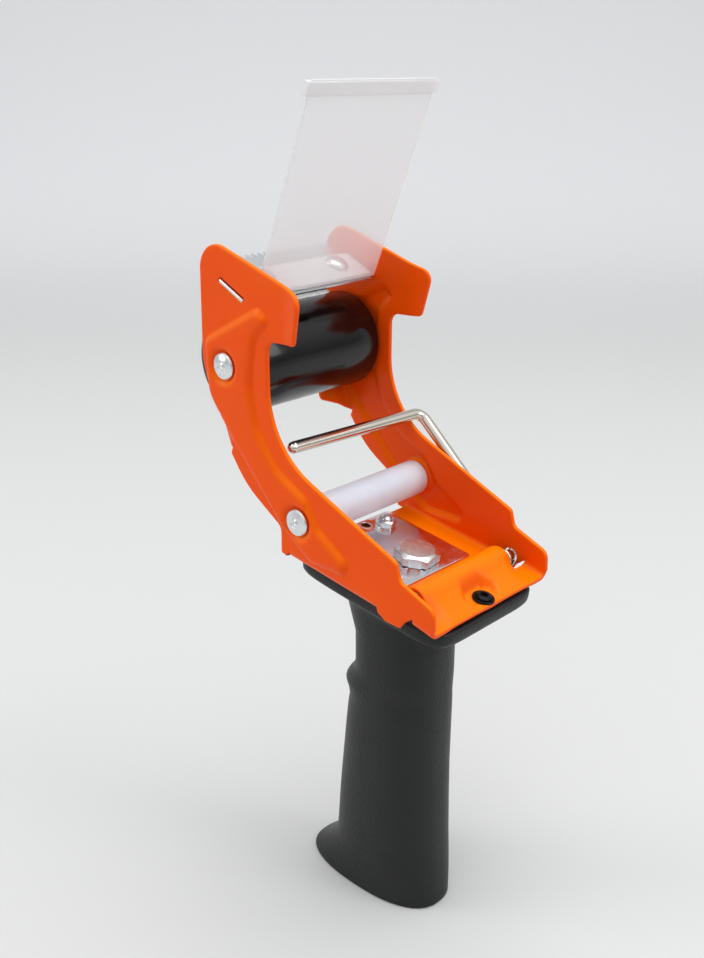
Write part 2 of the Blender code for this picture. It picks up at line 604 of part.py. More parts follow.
def main():
    for obj in list(bpy.data.objects):
        bpy.data.objects.remove(obj, do_unlink=True)
    add_datum("floor_datum", *FLOOR_ORIGIN, FLOOR_TILT)
    add_datum("lip_datum", *LIP_SCREW_PLACE, LIP_TILT)
    add_datum("blade_datum", *BLADE_ORIGIN, BLADE_TILT)
    add_datum("hinge_datum", *HINGE, GUARD_LEAN)
    paint = material("orange_powder_coat", (0.80, 0.13, 0.01), 0.38)
    black = material("black_grip_plastic", (0.02, 0.02, 0.02), 0.6)
    rubber = material("black_rubber", (0.012, 0.012, 0.012), 0.45)
    nylon = material("milky_nylon", (0.82, 0.82, 0.84), 0.4)
    zinc = material("zinc_plated_steel", (0.72, 0.72, 0.74), 0.3, 1.0)
    steel = material("bright_steel", (0.78, 0.77, 0.75), 0.2, 1.0)
    blackened = material("blackened_steel", (0.02, 0.02, 0.02), 0.35, 0.6)
    clear = material("clear_plastic", (0.92, 0.92, 0.92), 0.15, 0.0, 0.3)
    make_frame(paint)
    make_grip(black)
    make_fasteners(zinc, steel, blackened)
    make_rollers(rubber, black, nylon, zinc)
    make_blade(zinc, steel)
    make_guard(clear, zinc)
    make_arm(steel, zinc)


main()
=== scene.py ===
# Parcel tape dispenser: the finished looks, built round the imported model.
# Lengths in the dictionaries are millimetres. Z is up the grip, Y runs across the tape, -X is the cutting end.
import math

import bmesh
import bpy
import numpy as np
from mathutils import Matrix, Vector, geometry


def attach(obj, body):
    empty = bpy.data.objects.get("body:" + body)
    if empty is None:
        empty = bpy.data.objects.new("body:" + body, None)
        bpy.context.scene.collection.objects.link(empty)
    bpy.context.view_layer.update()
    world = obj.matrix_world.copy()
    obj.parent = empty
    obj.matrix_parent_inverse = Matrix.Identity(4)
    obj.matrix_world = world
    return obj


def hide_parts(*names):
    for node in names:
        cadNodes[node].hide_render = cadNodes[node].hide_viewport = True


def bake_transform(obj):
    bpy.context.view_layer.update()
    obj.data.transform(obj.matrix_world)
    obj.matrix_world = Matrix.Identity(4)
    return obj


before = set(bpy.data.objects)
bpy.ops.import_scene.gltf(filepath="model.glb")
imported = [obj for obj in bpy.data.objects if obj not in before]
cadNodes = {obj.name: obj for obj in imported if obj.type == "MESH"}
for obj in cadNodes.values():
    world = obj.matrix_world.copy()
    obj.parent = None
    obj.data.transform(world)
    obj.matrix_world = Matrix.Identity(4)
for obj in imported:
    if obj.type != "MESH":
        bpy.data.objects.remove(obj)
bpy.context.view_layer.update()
mm = 0.001


# ---- small tools ----

def srgb(code):
    parts = [int(code[i:i + 2], 16) / 255 for i in (1, 3, 5)]
    return (*[c / 12.92 if c <= 0.04045 else ((c + 0.055) / 1.055) ** 2.4 for c in parts], 1.0)


def addNode(tree, kind, inputs=None, **settings):
    node = tree.nodes.new(kind)
    for name, value in settings.items():
        setattr(node, name, value)
    for name, value in (inputs or {}).items():
        if isinstance(value, bpy.types.Node):
            value = value.outputs[0]
        if isinstance(value, bpy.types.NodeSocket):
            tree.links.new(value, node.inputs[name])
        else:
            node.inputs[name].default_value = value
    return node


def startMaterial(name, colour, roughness, metallic=0.0):
    made = bpy.data.materials.new(name)
    made.use_nodes = True
    shader = made.node_tree.nodes["Principled BSDF"]
    shader.inputs["Base Color"].default_value = srgb(colour)
    shader.inputs["Roughness"].default_value = roughness
    shader.inputs["Metallic"].default_value = metallic
    return made, made.node_tree, shader


def toPiece(name, bm, look, smooth=35.0):
    # millimetre bmesh to a metre object with faces out
    bmesh.ops.recalc_face_normals(bm, faces=bm.faces)
    bmesh.ops.scale(bm, vec=(mm, mm, mm), verts=bm.verts)
    mesh = bpy.data.meshes.new(name)
    bm.to_mesh(mesh)
    bm.free()
    mesh.shade_smooth()
    mesh.set_sharp_from_angle(angle=math.radians(smooth))
    mesh.materials.append(look)
    piece = bpy.data.objects.new(name, mesh)
    bpy.context.collection.objects.link(piece)
    return piece


def settle(piece, body, slotName, *replaced):
    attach(piece, body)
    if replaced:
        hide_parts(*replaced)
    print(f"{piece.name}: {len(piece.data.polygons)} faces, rides on {body}")
    return piece


def roundedOutline(corners, step=6.0):
    # (a, b, radius[, mark]) corners to points, arcs drawn; marks keep their point's number
    points = []
    marks = {}
    count = len(corners)
    for index, corner in enumerate(corners):
        here = Vector(corner[:2])
        before = (Vector(corners[index - 1][:2]) - here).normalized()
        after = (Vector(corners[(index + 1) % count][:2]) - here).normalized()
        if len(corner) > 3:
            marks[corner[3]] = len(points)
        if corner[2] <= 0:
            points.append(tuple(here))
            continue
        half = before.angle(after) / 2
        centre = here + (before + after).normalized() * (corner[2] / math.sin(half))
        start = here + before * (corner[2] / math.tan(half)) - centre
        sweep = (math.pi - 2 * half) * (1.0 if before.cross(after) < 0 else -1.0)
        pieces = max(2, round(abs(math.degrees(sweep)) / step))
        for k in range(pieces + 1):
            cos, sin = math.cos(sweep * k / pieces), math.sin(sweep * k / pieces)
            points.append((centre.x + start.x * cos - start.y * sin, centre.y + start.x * sin + start.y * cos))
    return points, marks


def insetOutline(points, amount):
    area = sum(a[0] * b[1] - b[0] * a[1] for a, b in zip(points, points[1:] + points[:1]))
    turn = 1.0 if area > 0 else -1.0
    moved = []
    for index, point in enumerate(points):
        here = Vector(point)
        before = (here - Vector(points[index - 1])).normalized()
        after = (Vector(points[(index + 1) % len(points)]) - here).normalized()
        normals = [Vector((-d.y, d.x)) * turn for d in (before, after)]
        middle = (normals[0] + normals[1]).normalized()
        moved.append(tuple(here + middle * (amount / max(0.5, middle.dot(normals[0])))))
    return moved


def dividedEdges(points, spacing):
    made = []
    for a, b in zip(points, points[1:] + points[:1]):
        pieces = max(1, math.ceil(math.dist(a, b) / spacing))
        made += [(a[0] + (b[0] - a[0]) * k / pieces, a[1] + (b[1] - a[1]) * k / pieces) for k in range(pieces)]
    return made


def insideDistance(points, polygon):
    # distance to a polygon's edge, positive inside
    p = np.asarray(points, float)[:, None, :]
    a = np.asarray(polygon, float)[None, :, :]
    b = np.roll(a, -1, axis=1)
    along = b - a
    share = np.clip(((p - a) * along).sum(2) / np.maximum((along ** 2).sum(2), 1e-12), 0, 1)
    gap = np.sqrt((((a + along * share[..., None]) - p) ** 2).sum(2)).min(1)
    crosses = (a[..., 1] > p[..., 1]) != (b[..., 1] > p[..., 1])
    rise = np.where(np.abs(along[..., 1]) < 1e-12, 1e-12, along[..., 1])
    reach = a[..., 0] + (p[..., 1] - a[..., 1]) * along[..., 0] / rise
    inside = (crosses & (p[..., 0] < reach)).sum(1) % 2 == 1
    return np.where(inside, gap, -gap)


def ease(low, high, value):
    share = np.clip((np.asarray(value, float) - low) / (high - low), 0, 1)
    return share * share * (3 - 2 * share)


def fillOutline(outline, holes, spacing, creases=()):
    # even triangles inside an outline, with edges along any creases; returns points and triangles
    rings = [outline] + holes + list(creases)
    fixed = [point for ring in rings for point in ring]
    edges = []
    for ring in rings:
        first = len(edges)
        edges += [(first + k, first + (k + 1) % len(ring)) for k in range(len(ring))]
    low, high = np.min(outline, axis=0), np.max(outline, axis=0)
    rows = np.arange(low[1], high[1], spacing * 0.866)
    grid = [(x + (spacing / 2 if row % 2 else 0), y) for row, y in enumerate(rows)
            for x in np.arange(low[0], high[0], spacing)]
    keep = insideDistance(grid, outline) > spacing * 0.55
    for hole in holes:
        keep &= insideDistance(grid, hole) < -spacing * 0.55
    for crease in creases:
        keep &= np.abs(insideDistance(grid, crease)) > spacing * 0.45
    inner = [point for point, kept in zip(grid, keep) if kept]
    made = geometry.delaunay_2d_cdt([Vector(p) for p in fixed + inner], edges, [], 1, 1e-5)
    points = np.array([tuple(v) for v in made[0]])
    triangles = [tuple(f) for f in made[2]]
    middles = np.array([points[list(t)].mean(0) for t in triangles])
    keep = insideDistance(middles, outline) > 0
    for hole in holes:
        keep &= insideDistance(middles, hole) < 0
    return points, [t for t, kept in zip(triangles, keep) if kept]


def thickened(bm, thickness, radius):
    # middle surface to a closed sheet whose rims are rounded
    bmesh.ops.remove_doubles(bm, verts=bm.verts, dist=0.01)
    bmesh.ops.recalc_face_normals(bm, faces=bm.faces)
    bm.normal_update()
    half = thickness / 2
    rims = {}
    rimEdges = [edge for edge in bm.edges if len(edge.link_faces) == 1]
    for edge in rimEdges:
        face = edge.link_faces[0]
        out = (edge.verts[1].co - edge.verts[0].co).normalized().cross(face.normal)
        if out.dot(face.calc_center_median() - edge.verts[0].co) > 0:
            out.negate()
        for vert in edge.verts:
            rims.setdefault(vert, []).append(out)
    made = bmesh.new()
    top = {v: made.verts.new(v.co + v.normal * half) for v in bm.verts}
    under = {v: made.verts.new(v.co - v.normal * half) for v in bm.verts}
    rings = {}
    for vert, outs in rims.items():
        out = sum(outs, Vector())
        out = (out - vert.normal * out.dot(vert.normal)).normalized()
        out *= 1 / max(0.6, out.dot(outs[0]))
        ring = [top[vert]]
        for side, angle in ((1, 30), (1, 60), (1, 90), (-1, 90), (-1, 60), (-1, 30)):
            a = math.radians(angle)
            rise = side * (half - radius + radius * math.cos(a))
            ring.append(made.verts.new(vert.co + out * radius * math.sin(a) + vert.normal * rise))
        rings[vert] = ring + [under[vert]]
    for face in bm.faces:
        made.faces.new([top[v] for v in face.verts])
        made.faces.new([under[v] for v in reversed(face.verts)])
    for edge in rimEdges:
        a, b = (rings[v] for v in edge.verts)
        for k in range(len(a) - 1):
            made.faces.new((a[k], b[k], b[k + 1], a[k + 1]))
    bm.free()
    return made


def turnedShape(profile, segments=48, centre=(0, 0, 0), axis="Y", closed=False):
    # (radius, height) profile turned about an axis; radius 0 closes a pole
    order = {"Y": lambda c, s, h: (c, h, s), "Z": lambda c, s, h: (c, s, h)}[axis]
    bm = bmesh.new()
    rings = []
    for radius, height in profile:
        count = 1 if radius == 0 else segments
        rings.append([bm.verts.new(Vector(centre) + Vector(order(
            radius * math.cos(2 * math.pi * k / segments), radius * math.sin(2 * math.pi * k / segments), height)))
            for k in range(count)])
    for low, high in list(zip(rings, rings[1:])) + ([(rings[-1], rings[0])] if closed else []):
        for k in range(segments):
            after = (k + 1) % segments
            corners = [low[k % len(low)], low[after % len(low)], high[after % len(high)], high[k % len(high)]]
            bm.faces.new(list(dict.fromkeys(corners)))
    return bm


def skinned(rings):
    # closed rings of equal count, both ends capped
    bm = bmesh.new()
    levels = [[bm.verts.new(point) for point in ring] for ring in rings]
    bm.faces.new(levels[0])
    bm.faces.new(levels[-1])
    for low, high in zip(levels, levels[1:]):
        for k in range(len(low)):
            after = (k + 1) % len(low)
            bm.faces.new((low[k], low[after], high[after], high[k]))
    return bm


def joinShapes(first, *others):
    for other in others:
        bmesh.ops.recalc_face_normals(other, faces=other.faces)
        spare = bpy.data.meshes.new("spare")
        other.to_mesh(spare)
        other.free()
        first.from_mesh(spare)
        bpy.data.meshes.remove(spare)
    return first


def tilted(bm, origin, angle):
    # carries a shape from a flat plane to a plane that leans down towards +X
    cos, sin = math.cos(math.radians(angle)), math.sin(math.radians(angle))
    for vert in bm.verts:
        x, y, z = vert.co
        vert.co = (origin[0] + x * cos + z * sin, y, origin[1] - x * sin + z * cos)
    return bm


def grown(name, sizes, look, draw, carrier):
    # runs a Geometry Nodes tree on a carrier mesh and keeps the result as a plain mesh
    kinds = {float: "NodeSocketFloat", int: "NodeSocketInt", tuple: "NodeSocketVector", bpy.types.Object: "NodeSocketObject"}
    tree = bpy.data.node_groups.new(name, "GeometryNodeTree")
    tree.interface.new_socket("Geometry", in_out="INPUT", socket_type="NodeSocketGeometry")
    tree.interface.new_socket("Geometry", in_out="OUTPUT", socket_type="NodeSocketGeometry")
    for label, value in sizes.items():
        tree.interface.new_socket(label, in_out="INPUT", socket_type=kinds[type(value)])
    entry = addNode(tree, "NodeGroupInput")
    shape = draw(tree, entry.outputs)
    real = addNode(tree, "GeometryNodeRealizeInstances", {"Geometry": shape})
    painted = addNode(tree, "GeometryNodeSetMaterial", {"Geometry": real, "Material": look})
    addNode(tree, "NodeGroupOutput", {"Geometry": painted})
    holder = bpy.data.objects.new(name + "Carrier", carrier)
    bpy.context.collection.objects.link(holder)
    change = holder.modifiers.new(name, "NODES")
    change.node_group = tree
    for item in tree.interface.items_tree:
        if item.in_out == "INPUT" and item.name in sizes:
            change[item.identifier] = sizes[item.name]
    bpy.context.view_layer.update()
    mesh = bpy.data.meshes.new_from_object(holder.evaluated_get(bpy.context.evaluated_depsgraph_get()))
    mesh.name = name
    bpy.data.objects.remove(holder)
    piece = bpy.data.objects.new(name, mesh)
    bpy.context.collection.objects.link(piece)
    return piece


def pathMesh(name, points):
    mesh = bpy.data.meshes.new(name)
    mesh.from_pydata([Vector(p) * mm for p in points], [(k, k + 1) for k in range(len(points) - 1)], [])
    return mesh


# ---- materials ----

def patterned(name, colour, roughness=0.5, metallic=0.0, **layers):
    # up to three noise layers, gloss, tones and bump; their sizes and heights are millimetres
    made, tree, shader = startMaterial(name, colour, roughness, metallic)
    place = addNode(tree, "ShaderNodeTexCoord").outputs["Object"]
    for use, layer in layers.items():
        where = place
        if "stretch" in layer:
            where = addNode(tree, "ShaderNodeMapping", {"Vector": place, "Scale": layer["stretch"]})
        noise = addNode(tree, "ShaderNodeTexNoise", {"Vector": where, "Scale": 1000 / layer["size"], "Detail": layer["detail"],
                                                     "Roughness": layer.get("grain", 0.5)})
        if use == "bump":
            raised = addNode(tree, "ShaderNodeBump", {"Height": noise, "Strength": layer["strength"],
                                                      "Distance": layer["height"] * mm})
            tree.links.new(raised.outputs[0], shader.inputs["Normal"])
            continue
        start, end = layer.get("span", (0.0, 1.0))
        share = addNode(tree, "ShaderNodeMapRange", {"Value": noise, 1: start, 2: end,
                                                     3: layer.get("low", 0.0), 4: layer.get("high", 1.0)})
        if use == "gloss":
            tree.links.new(share.outputs[0], shader.inputs["Roughness"])
        else:
            colours = {6: srgb(layer["first"]), 7: srgb(layer["second"])}
            mixed = addNode(tree, "ShaderNodeMix", {0: share, **colours}, data_type="RGBA")
            tree.links.new(mixed.outputs[2], shader.inputs["Base Color"])
    return made, tree, shader


# Orange epoxy powder coat on steel: glossy, 1.3 mm orange peel, gloss and tone drifting over 22 mm
powderCoat, tree, shader = patterned(
    "orangePowderCoat", "#f25a00",
    gloss={"size": 22, "detail": 2.0, "low": 0.25, "high": 0.36},
    tones={"size": 22, "detail": 2.0, "first": "#ee4a00", "second": "#f45700"},
    bump={"size": 1.3, "detail": 1.0, "strength": 0.35, "height": 0.03})
shader.inputs["Specular IOR Level"].default_value = 0.12
# painted light: upward faces are painted yellower, standing in for the stronger light that falls on them
facing = addNode(tree, "ShaderNodeSeparateXYZ", {"Vector": addNode(tree, "ShaderNodeNewGeometry").outputs["Normal"]})
litUpward = addNode(tree, "ShaderNodeMapRange", {"Value": facing.outputs["Z"], 1: 0.0, 2: 0.95})
drifting = shader.inputs["Base Color"].links[0].from_socket
paintedLightTone = addNode(tree, "ShaderNodeMix", {0: litUpward, 6: drifting, 7: srgb("#ff7e00")}, data_type="RGBA")
tree.links.new(paintedLightTone.outputs[2], shader.inputs["Base Color"])

# Spark-eroded black polypropylene: matte grain of 0.9 mm, twice life size so that it shows, in 18 mm patches of gloss
gripPlastic, tree, shader = patterned(
    "sparkErodedBlackPlastic", "#0f1112",
    gloss={"size": 18, "detail": 3.0, "low": 0.36, "high": 0.5},
    bump={"size": 0.9, "detail": 2.0, "grain": 0.6, "strength": 0.9, "height": 0.2})
shader.inputs["Specular IOR Level"].default_value = 0.35

# Black nitrile sleeve, ground then handled: broad soft reflections, duller smears 3 mm wide and 11 mm long
smears = {"size": 3.2, "detail": 5.0, "grain": 0.65, "stretch": (1.0, 0.28, 1.0)}
sleeveRubber, tree, shader = patterned(
    "groundNitrileRubber", "#0b0b0c",
    gloss={**smears, "span": (0.35, 0.7), "low": 0.1, "high": 0.26},
    tones={**smears, "span": (0.5, 0.8), "high": 0.2, "first": "#070708", "second": "#24211f"},
    bump={**smears, "strength": 0.08, "height": 0.04})
shader.inputs["Specular IOR Level"].default_value = 0.4

# Natural nylon, turned: milky with 9 mm clouds, a little light passes into it, satin
milkyNylon, tree, shader = patterned(
    "naturalNylon", "#e6e2ea", 0.38,
    tones={"size": 9, "detail": 2.0, "first": "#cdd2dc", "second": "#dcdfe8"})
shader.inputs["Subsurface Weight"].default_value = 0.15
shader.inputs["Subsurface Radius"].default_value = (0.9, 0.85, 0.9)
shader.inputs["Subsurface Scale"].default_value = 1.5 * mm

# Bright zinc plate on rivets, nuts and bracket: soft metallic grey with a 1.8 mm spangle from bluish to yellowish
spangle = {"size": 1.8, "detail": 3.0}
brightZinc, tree, shader = patterned(
    "brightZincPlate", "#cfd2d6", metallic=1.0,
    gloss={**spangle, "low": 0.16, "high": 0.34},
    tones={**spangle, "first": "#cdd6e2", "second": "#f2f0e4"},
    bump={**spangle, "strength": 0.15, "height": 0.02})

# Mirror-bright plated sheet under the bolt: near mirror, hazed by 5 mm finger smears, its rolled face never quite flat
mirrorPlate, tree, shader = patterned(
    "mirrorZincSheet", "#ecebf0", metallic=1.0,
    gloss={"size": 5, "detail": 5.0, "grain": 0.7, "span": (0.35, 0.7), "low": 0.08, "high": 0.3},
    bump={"size": 7, "detail": 1.0, "strength": 0.15, "height": 0.1})

# Nickel-plated drawn wire: warm bright metal with faint draw lines, 0.5 mm apart
drawnWire, tree, shader = patterned(
    "nickelPlatedWire", "#d9d1c4", metallic=1.0,
    gloss={"size": 0.5, "detail": 2.0, "stretch": (1.0, 0.06, 1.0), "low": 0.1, "high": 0.22})

# Hardened strip steel, ground teeth: cool grey with crosswise grinding lines, 0.35 mm apart
bladeSteel, tree, shader = patterned(
    "groundStripSteel", "#e6e8ea", metallic=1.0,
    gloss={"size": 0.35, "detail": 2.0, "stretch": (0.08, 1.0, 0.08), "low": 0.26, "high": 0.34})

# Black-oxide screw: dark satin metal with a 0.9 mm mottle
blackOxide, tree, shader = patterned(
    "blackOxideSteel", "#141517", metallic=0.7,
    gloss={"size": 0.9, "detail": 2.0, "low": 0.24, "high": 0.42})

# Clear PVC sheet gone slightly milky, with 6 mm scuffs: what is behind it shows paled, and the flat base is painted
# paler still as a painted reflection of the overhead light
guardPlastic, tree, shader = patterned(
    "milkyClearPVC", "#f3f1f2",
    gloss={"size": 6, "detail": 4.0, "low": 0.08, "high": 0.24})
# painted reflection: upward faces are made more opaque and so paler, standing in for overhead light reflected off them;
# the even milkiness is the sheet's own
facing = addNode(tree, "ShaderNodeSeparateXYZ", {"Vector": addNode(tree, "ShaderNodeNewGeometry").outputs["Normal"]})
upward = addNode(tree, "ShaderNodeMath", {0: facing.outputs["Z"]}, operation="ABSOLUTE")
milkAndSheen = addNode(tree, "ShaderNodeMapRange", {"Value": upward, 1: 0.5, 2: 0.85, 3: 0.45, 4: 0.72})
tree.links.new(milkAndSheen.outputs[0], shader.inputs["Alpha"])
print("materials made")


# ---- bent sheet frame ----

sheetForm = {
    "thickness": 1.5, "rimRadius": 0.5, "spacing": 0.9, "halfWidth": 26.75, "bend": 2.25,
    "floorOrigin": (2.5, 120.2), "floorTilt": 8.0, "floorFront": -16.0, "floorRear": 18.5,
    "earTop": (-43.9, 162.0), "earLow": (-40.0, 152.0), "earBend": 1.8,
    "lipFront": (35.4, 117.6), "lipRear": (42.5, 115.9), "lipNormal": (0.2124, 0.9772), "lipRise": 2.354,
    "humpHalfWidth": 20.0,
    "reliefHeight": 1.3, "reliefWall": 1.9, "dimple": 4.7, "dimpleWall": 1.5,
    "flareStart": -15.6, "flareEnd": -11.4, "flareAngle": 16.0, "flareLow": 170.0,
    "humpStart": 19.0, "humpFillet": (15.5, 22.0), "lipSeatDepth": 0.1, "lipSeatWall": 0.9,
}
bladePlane = {"origin": (-28.0, 197.0), "tilt": 25.7, "tabStart": 3.9, "tabEnd": 15.1}
axleCentres = [(-40.2, 177.7), (-9.3, 135.8)]
armForm = {"pivot": (29.5, 119.6), "bar": (-11.5, 156.3), "radius": 1.9, "bend": 3.4,
           "outside": 30.2, "tip": -24.3, "tipShift": -4.8, "rodEnd": -18.0, "dome": 1.6}


def onFloor(s, height):
    tilt = math.radians(sheetForm["floorTilt"])
    return (sheetForm["floorOrigin"][0] + s * math.cos(tilt) + height * math.sin(tilt),
            sheetForm["floorOrigin"][1] - s * math.sin(tilt) + height * math.cos(tilt))


def onBlade(x, z):
    tilt = math.radians(bladePlane["tilt"])
    return (bladePlane["origin"][0] + x * math.cos(tilt) + z * math.sin(tilt),
            bladePlane["origin"][1] - x * math.sin(tilt) + z * math.cos(tilt))


foldHeight = sheetForm["thickness"] / 2 + sheetForm["bend"]
earAlong = (Vector(sheetForm["earLow"]) - Vector(sheetForm["earTop"]))
earOut = Vector((earAlong.y, -earAlong.x)).normalized()
earFold = [Vector(sheetForm[end]) - earOut * sheetForm["earBend"] for end in ("earTop", "earLow")]
lipUp = Vector(sheetForm["lipNormal"])
lipFold = [Vector(sheetForm[end]) + lipUp * sheetForm["lipRise"] for end in ("lipFront", "lipRear")]
cheekCorners = [
    (*onFloor(sheetForm["floorRear"], foldHeight), 0, "floorEnd"), (22.4, 117.2, 0.6), (25.2, 115.5, 1.5), (30.6, 115.2, 0.5),
    (32.0, 117.2, 0.5), (34.2, 119.0, 0.3), (*lipFold[0], 0, "lipStart"), (*lipFold[1], 0, "lipEnd"),
    (42.7, 124.6, 3.5), (30.3, 129.6, 2.5), (28.9, 134.7, 2.0), (-21.8, 156.3, 27.0), (-21.8, 188.2, 3.5),
    (-9.9, 188.7, 1.5), (-6.6, 202.8, 4.0), (-50.3, 216.4, 8.0), (-51.1, 176.2, 20.0),
    (-45.0, 163.8, 0.5), (*earFold[0], 0, "earStart"), (*earFold[1], 0, "earEnd"), (-39.2, 150.3, 0.5),
    (-32.4, 141.2, 30.0), (-17.2, 131.8, 3.0), (-17.3, 123.4, 1.0), (-14.6, 123.0, 0.4),
    (*onFloor(sheetForm["floorFront"], foldHeight), 0, "floorStart"),
]
# pressed band that stiffens each cheek, standing proud on the outside
pressedBand = [
    (-48.2, 184.2, 3.0), (-25.0, 196.6, 1.5), (-21.4, 194.2, 1.0), (-27.0, 188.6, 4.0), (-29.6, 174.0, 20.0), (-26.6, 160.6, 14.0),
    (-17.7, 149.3, 10.0), (-6.4, 143.8, 3.0), (-1.2, 135.6, 2.0), (9.9, 128.6, 2.0), (9.4, 125.2, 1.5), (-4.4, 125.2, 4.0),
    (-16.0, 133.4, 6.0), (-37.1, 155.8, 30.0), (-47.2, 168.0, 9.0),
]


def cheekRelief(x, z):
    band, _ = roundedOutline(pressedBand, 12.0)
    wall = sheetForm["reliefWall"] / 2
    rise = sheetForm["reliefHeight"] * ease(-wall, wall, insideDistance(np.column_stack((x, z)), band))
    # round seats pressed back in for the axle heads
    for axleX, axleZ in axleCentres:
        rise = rise * ease(sheetForm["dimple"], sheetForm["dimple"] + sheetForm["dimpleWall"], np.hypot(x - axleX, z - axleZ))
    start, end = sheetForm["flareStart"], sheetForm["flareEnd"]
    slope = math.tan(math.radians(sheetForm["flareAngle"]))
    share = np.clip((x - start) / (end - start), 0, 1)
    out = slope * (end - start) * share ** 2 / 2 + slope * np.clip(x - end, 0, None)
    return rise + np.where(z > sheetForm["flareLow"], out, 0)


def addPatch(bm, points, triangles):
    verts = [bm.verts.new(point) for point in points]
    for triangle in triangles:
        bm.faces.new([verts[k] for k in triangle])


def addFold(bm, foldPoints, side, lineStart, lineAlong, up, rise):
    # quarter round from a cheek's edge down to the floor or the lip; returns distances along the line
    rows = []
    distances = []
    for point in foldPoints:
        distance = (Vector(point) - Vector(lineStart)).dot(lineAlong)
        foot = Vector(lineStart) + lineAlong * distance
        distances.append(distance)
        row = [bm.verts.new((point[0], side * sheetForm["halfWidth"], point[1]))]
        for k in range(7):
            angle = math.pi / 2 * k / 6
            spot = foot + up * rise * (1 - math.sin(angle))
            inwards = sheetForm["bend"] * (1 - math.cos(angle))
            row.append(bm.verts.new((spot.x, side * (sheetForm["halfWidth"] - inwards), spot.y)))
        rows.append(row)
    for low, high in zip(rows, rows[1:]):
        for k in range(7):
            bm.faces.new((low[k], low[k + 1], high[k + 1], high[k]))
    return distances


def foldLine(outline, marks, start, end):
    a, b = outline[marks[start]], outline[marks[end]]
    pieces = max(1, math.ceil(math.dist(a, b) / sheetForm["spacing"]))
    return [(a[0] + (b[0] - a[0]) * k / pieces, a[1] + (b[1] - a[1]) * k / pieces) for k in range(pieces + 1)]


def addEar(bm, fold, side):
    # tab bent inwards under the roller, drawn flat as (inwards, along) and then rolled
    along = Vector(fold[-1]) - Vector(fold[0])
    length = along.length
    along.normalize()
    out = Vector((along.y, -along.x))
    radius = sheetForm["earBend"]
    rolled = radius * math.pi / 2
    flat = [(0, 0, 0), (rolled + 9.6, 0.2, 1.6), (rolled + 9.9, 4.6, 1.2), (rolled + 6.4, 6.0, 2.0),
            (rolled + 2.6, 7.6, 3.0), (0, length, 0)]
    outline, _ = roundedOutline(flat, 15.0)
    divided = dividedEdges(outline, sheetForm["spacing"])
    edge = [(0.0, (Vector(p) - Vector(fold[0])).dot(along)) for p in fold]
    divided = [p for p in divided if p[0] > 1e-6] + edge[::-1]
    points, triangles = fillOutline(divided, [], sheetForm["spacing"])
    placed = []
    for u, w in points:
        angle = min(u / radius, math.pi / 2)
        spot = Vector(fold[0]) + along * w + out * radius * math.sin(angle)
        inwards = radius * (1 - math.cos(angle)) + max(0.0, u - rolled)
        placed.append((spot.x, side * (sheetForm["halfWidth"] - inwards), spot.y))
    addPatch(bm, placed, triangles)


# middle line of the floor, the hump over the arm's rod and the slope down to the lip
humpLine = [onFloor(19.0, 0.75), onFloor(21.6, 0.75), (24.3, 118.7), (25.4, 121.3), (27.0, 123.3), (29.6, 124.1), (32.3, 123.2),
            (34.6, 121.1), (38.2, 118.5), (42.5, 115.9)]


def smoothLine(points, count):
    # Catmull-Rom through the points, returned with its running length
    p = np.array(points, float)
    p = np.concatenate(([2 * p[0] - p[1]], p, [2 * p[-1] - p[-2]]))
    made = []
    for k in range(1, len(p) - 2):
        for t in np.linspace(0, 1, count, endpoint=False):
            square = (2 * p[k - 1] - 5 * p[k] + 4 * p[k + 1] - p[k + 2]) * t ** 2
            cube = (3 * p[k] - p[k - 1] - 3 * p[k + 1] + p[k + 2]) * t ** 3
            made.append(0.5 * (2 * p[k] + (p[k + 1] - p[k - 1]) * t + square + cube))
    made.append(p[-2])
    made = np.array(made)
    length = np.concatenate(([0], np.cumsum(np.linalg.norm(np.diff(made, axis=0), axis=1))))
    return made, length


humpPoints, humpLength = smoothLine(humpLine, 12)
humpLength = humpLength + sheetForm["humpStart"]
lipStartT = float(np.interp(sheetForm["lipFront"][0], humpPoints[:, 0], humpLength))
lipEndT = float(humpLength[-1])
lipSpan = (Vector(sheetForm["lipRear"]) - Vector(sheetForm["lipFront"])).length


def floorPlace(t, y):
    # (distance along the sheet, y) to x and z of the middle surface
    t, y = np.asarray(t, float), np.asarray(y, float)
    tilt = math.radians(sheetForm["floorTilt"])
    flat = np.array([onFloor(0, 0.75)]) + t[:, None] * np.array([[math.cos(tilt), -math.sin(tilt)]])
    hump = np.column_stack([np.interp(t, humpLength, humpPoints[:, k]) for k in (0, 1)])
    line = np.where((t < sheetForm["humpStart"])[:, None], flat, hump)
    share = ((t - lipStartT) / (lipEndT - lipStartT))[:, None]
    lip = np.array(sheetForm["lipFront"]) + share * (np.array(sheetForm["lipRear"]) - np.array(sheetForm["lipFront"]))
    rampStart = lipStartT - 5.0
    weight = 1 - ease(rampStart, lipStartT + 0.5, t) * ease(*sheetForm["humpFillet"], np.abs(y))
    placed = lip * (1 - weight[:, None]) + line * weight[:, None]
    # seat pressed flat for the screw, with a wedge-shaped back wall
    seat = [(33.6, -4.2), (33.2, 3.8), (36.8, 7.2), (40.2, 5.4), (41.4, 0.0), (40.2, -5.4), (37.2, -7.2)]
    depth = ease(-sheetForm["lipSeatWall"], sheetForm["lipSeatWall"], insideDistance(np.column_stack((placed[:, 0], y)), seat))
    (frontX, frontZ), (rearX, rearZ) = sheetForm["lipFront"], sheetForm["lipRear"]
    share = (placed[:, 0] - frontX) / (rearX - frontX)
    seatZ = frontZ + share * (rearZ - frontZ) - sheetForm["lipSeatDepth"]
    placed[:, 1] += np.minimum(seatZ - placed[:, 1], 0) * depth
    return placed


def ring(centre, radius, count=24):
    return [(centre[0] + radius * math.cos(2 * math.pi * k / count), centre[1] + radius * math.sin(2 * math.pi * k / count))
            for k in range(count)]


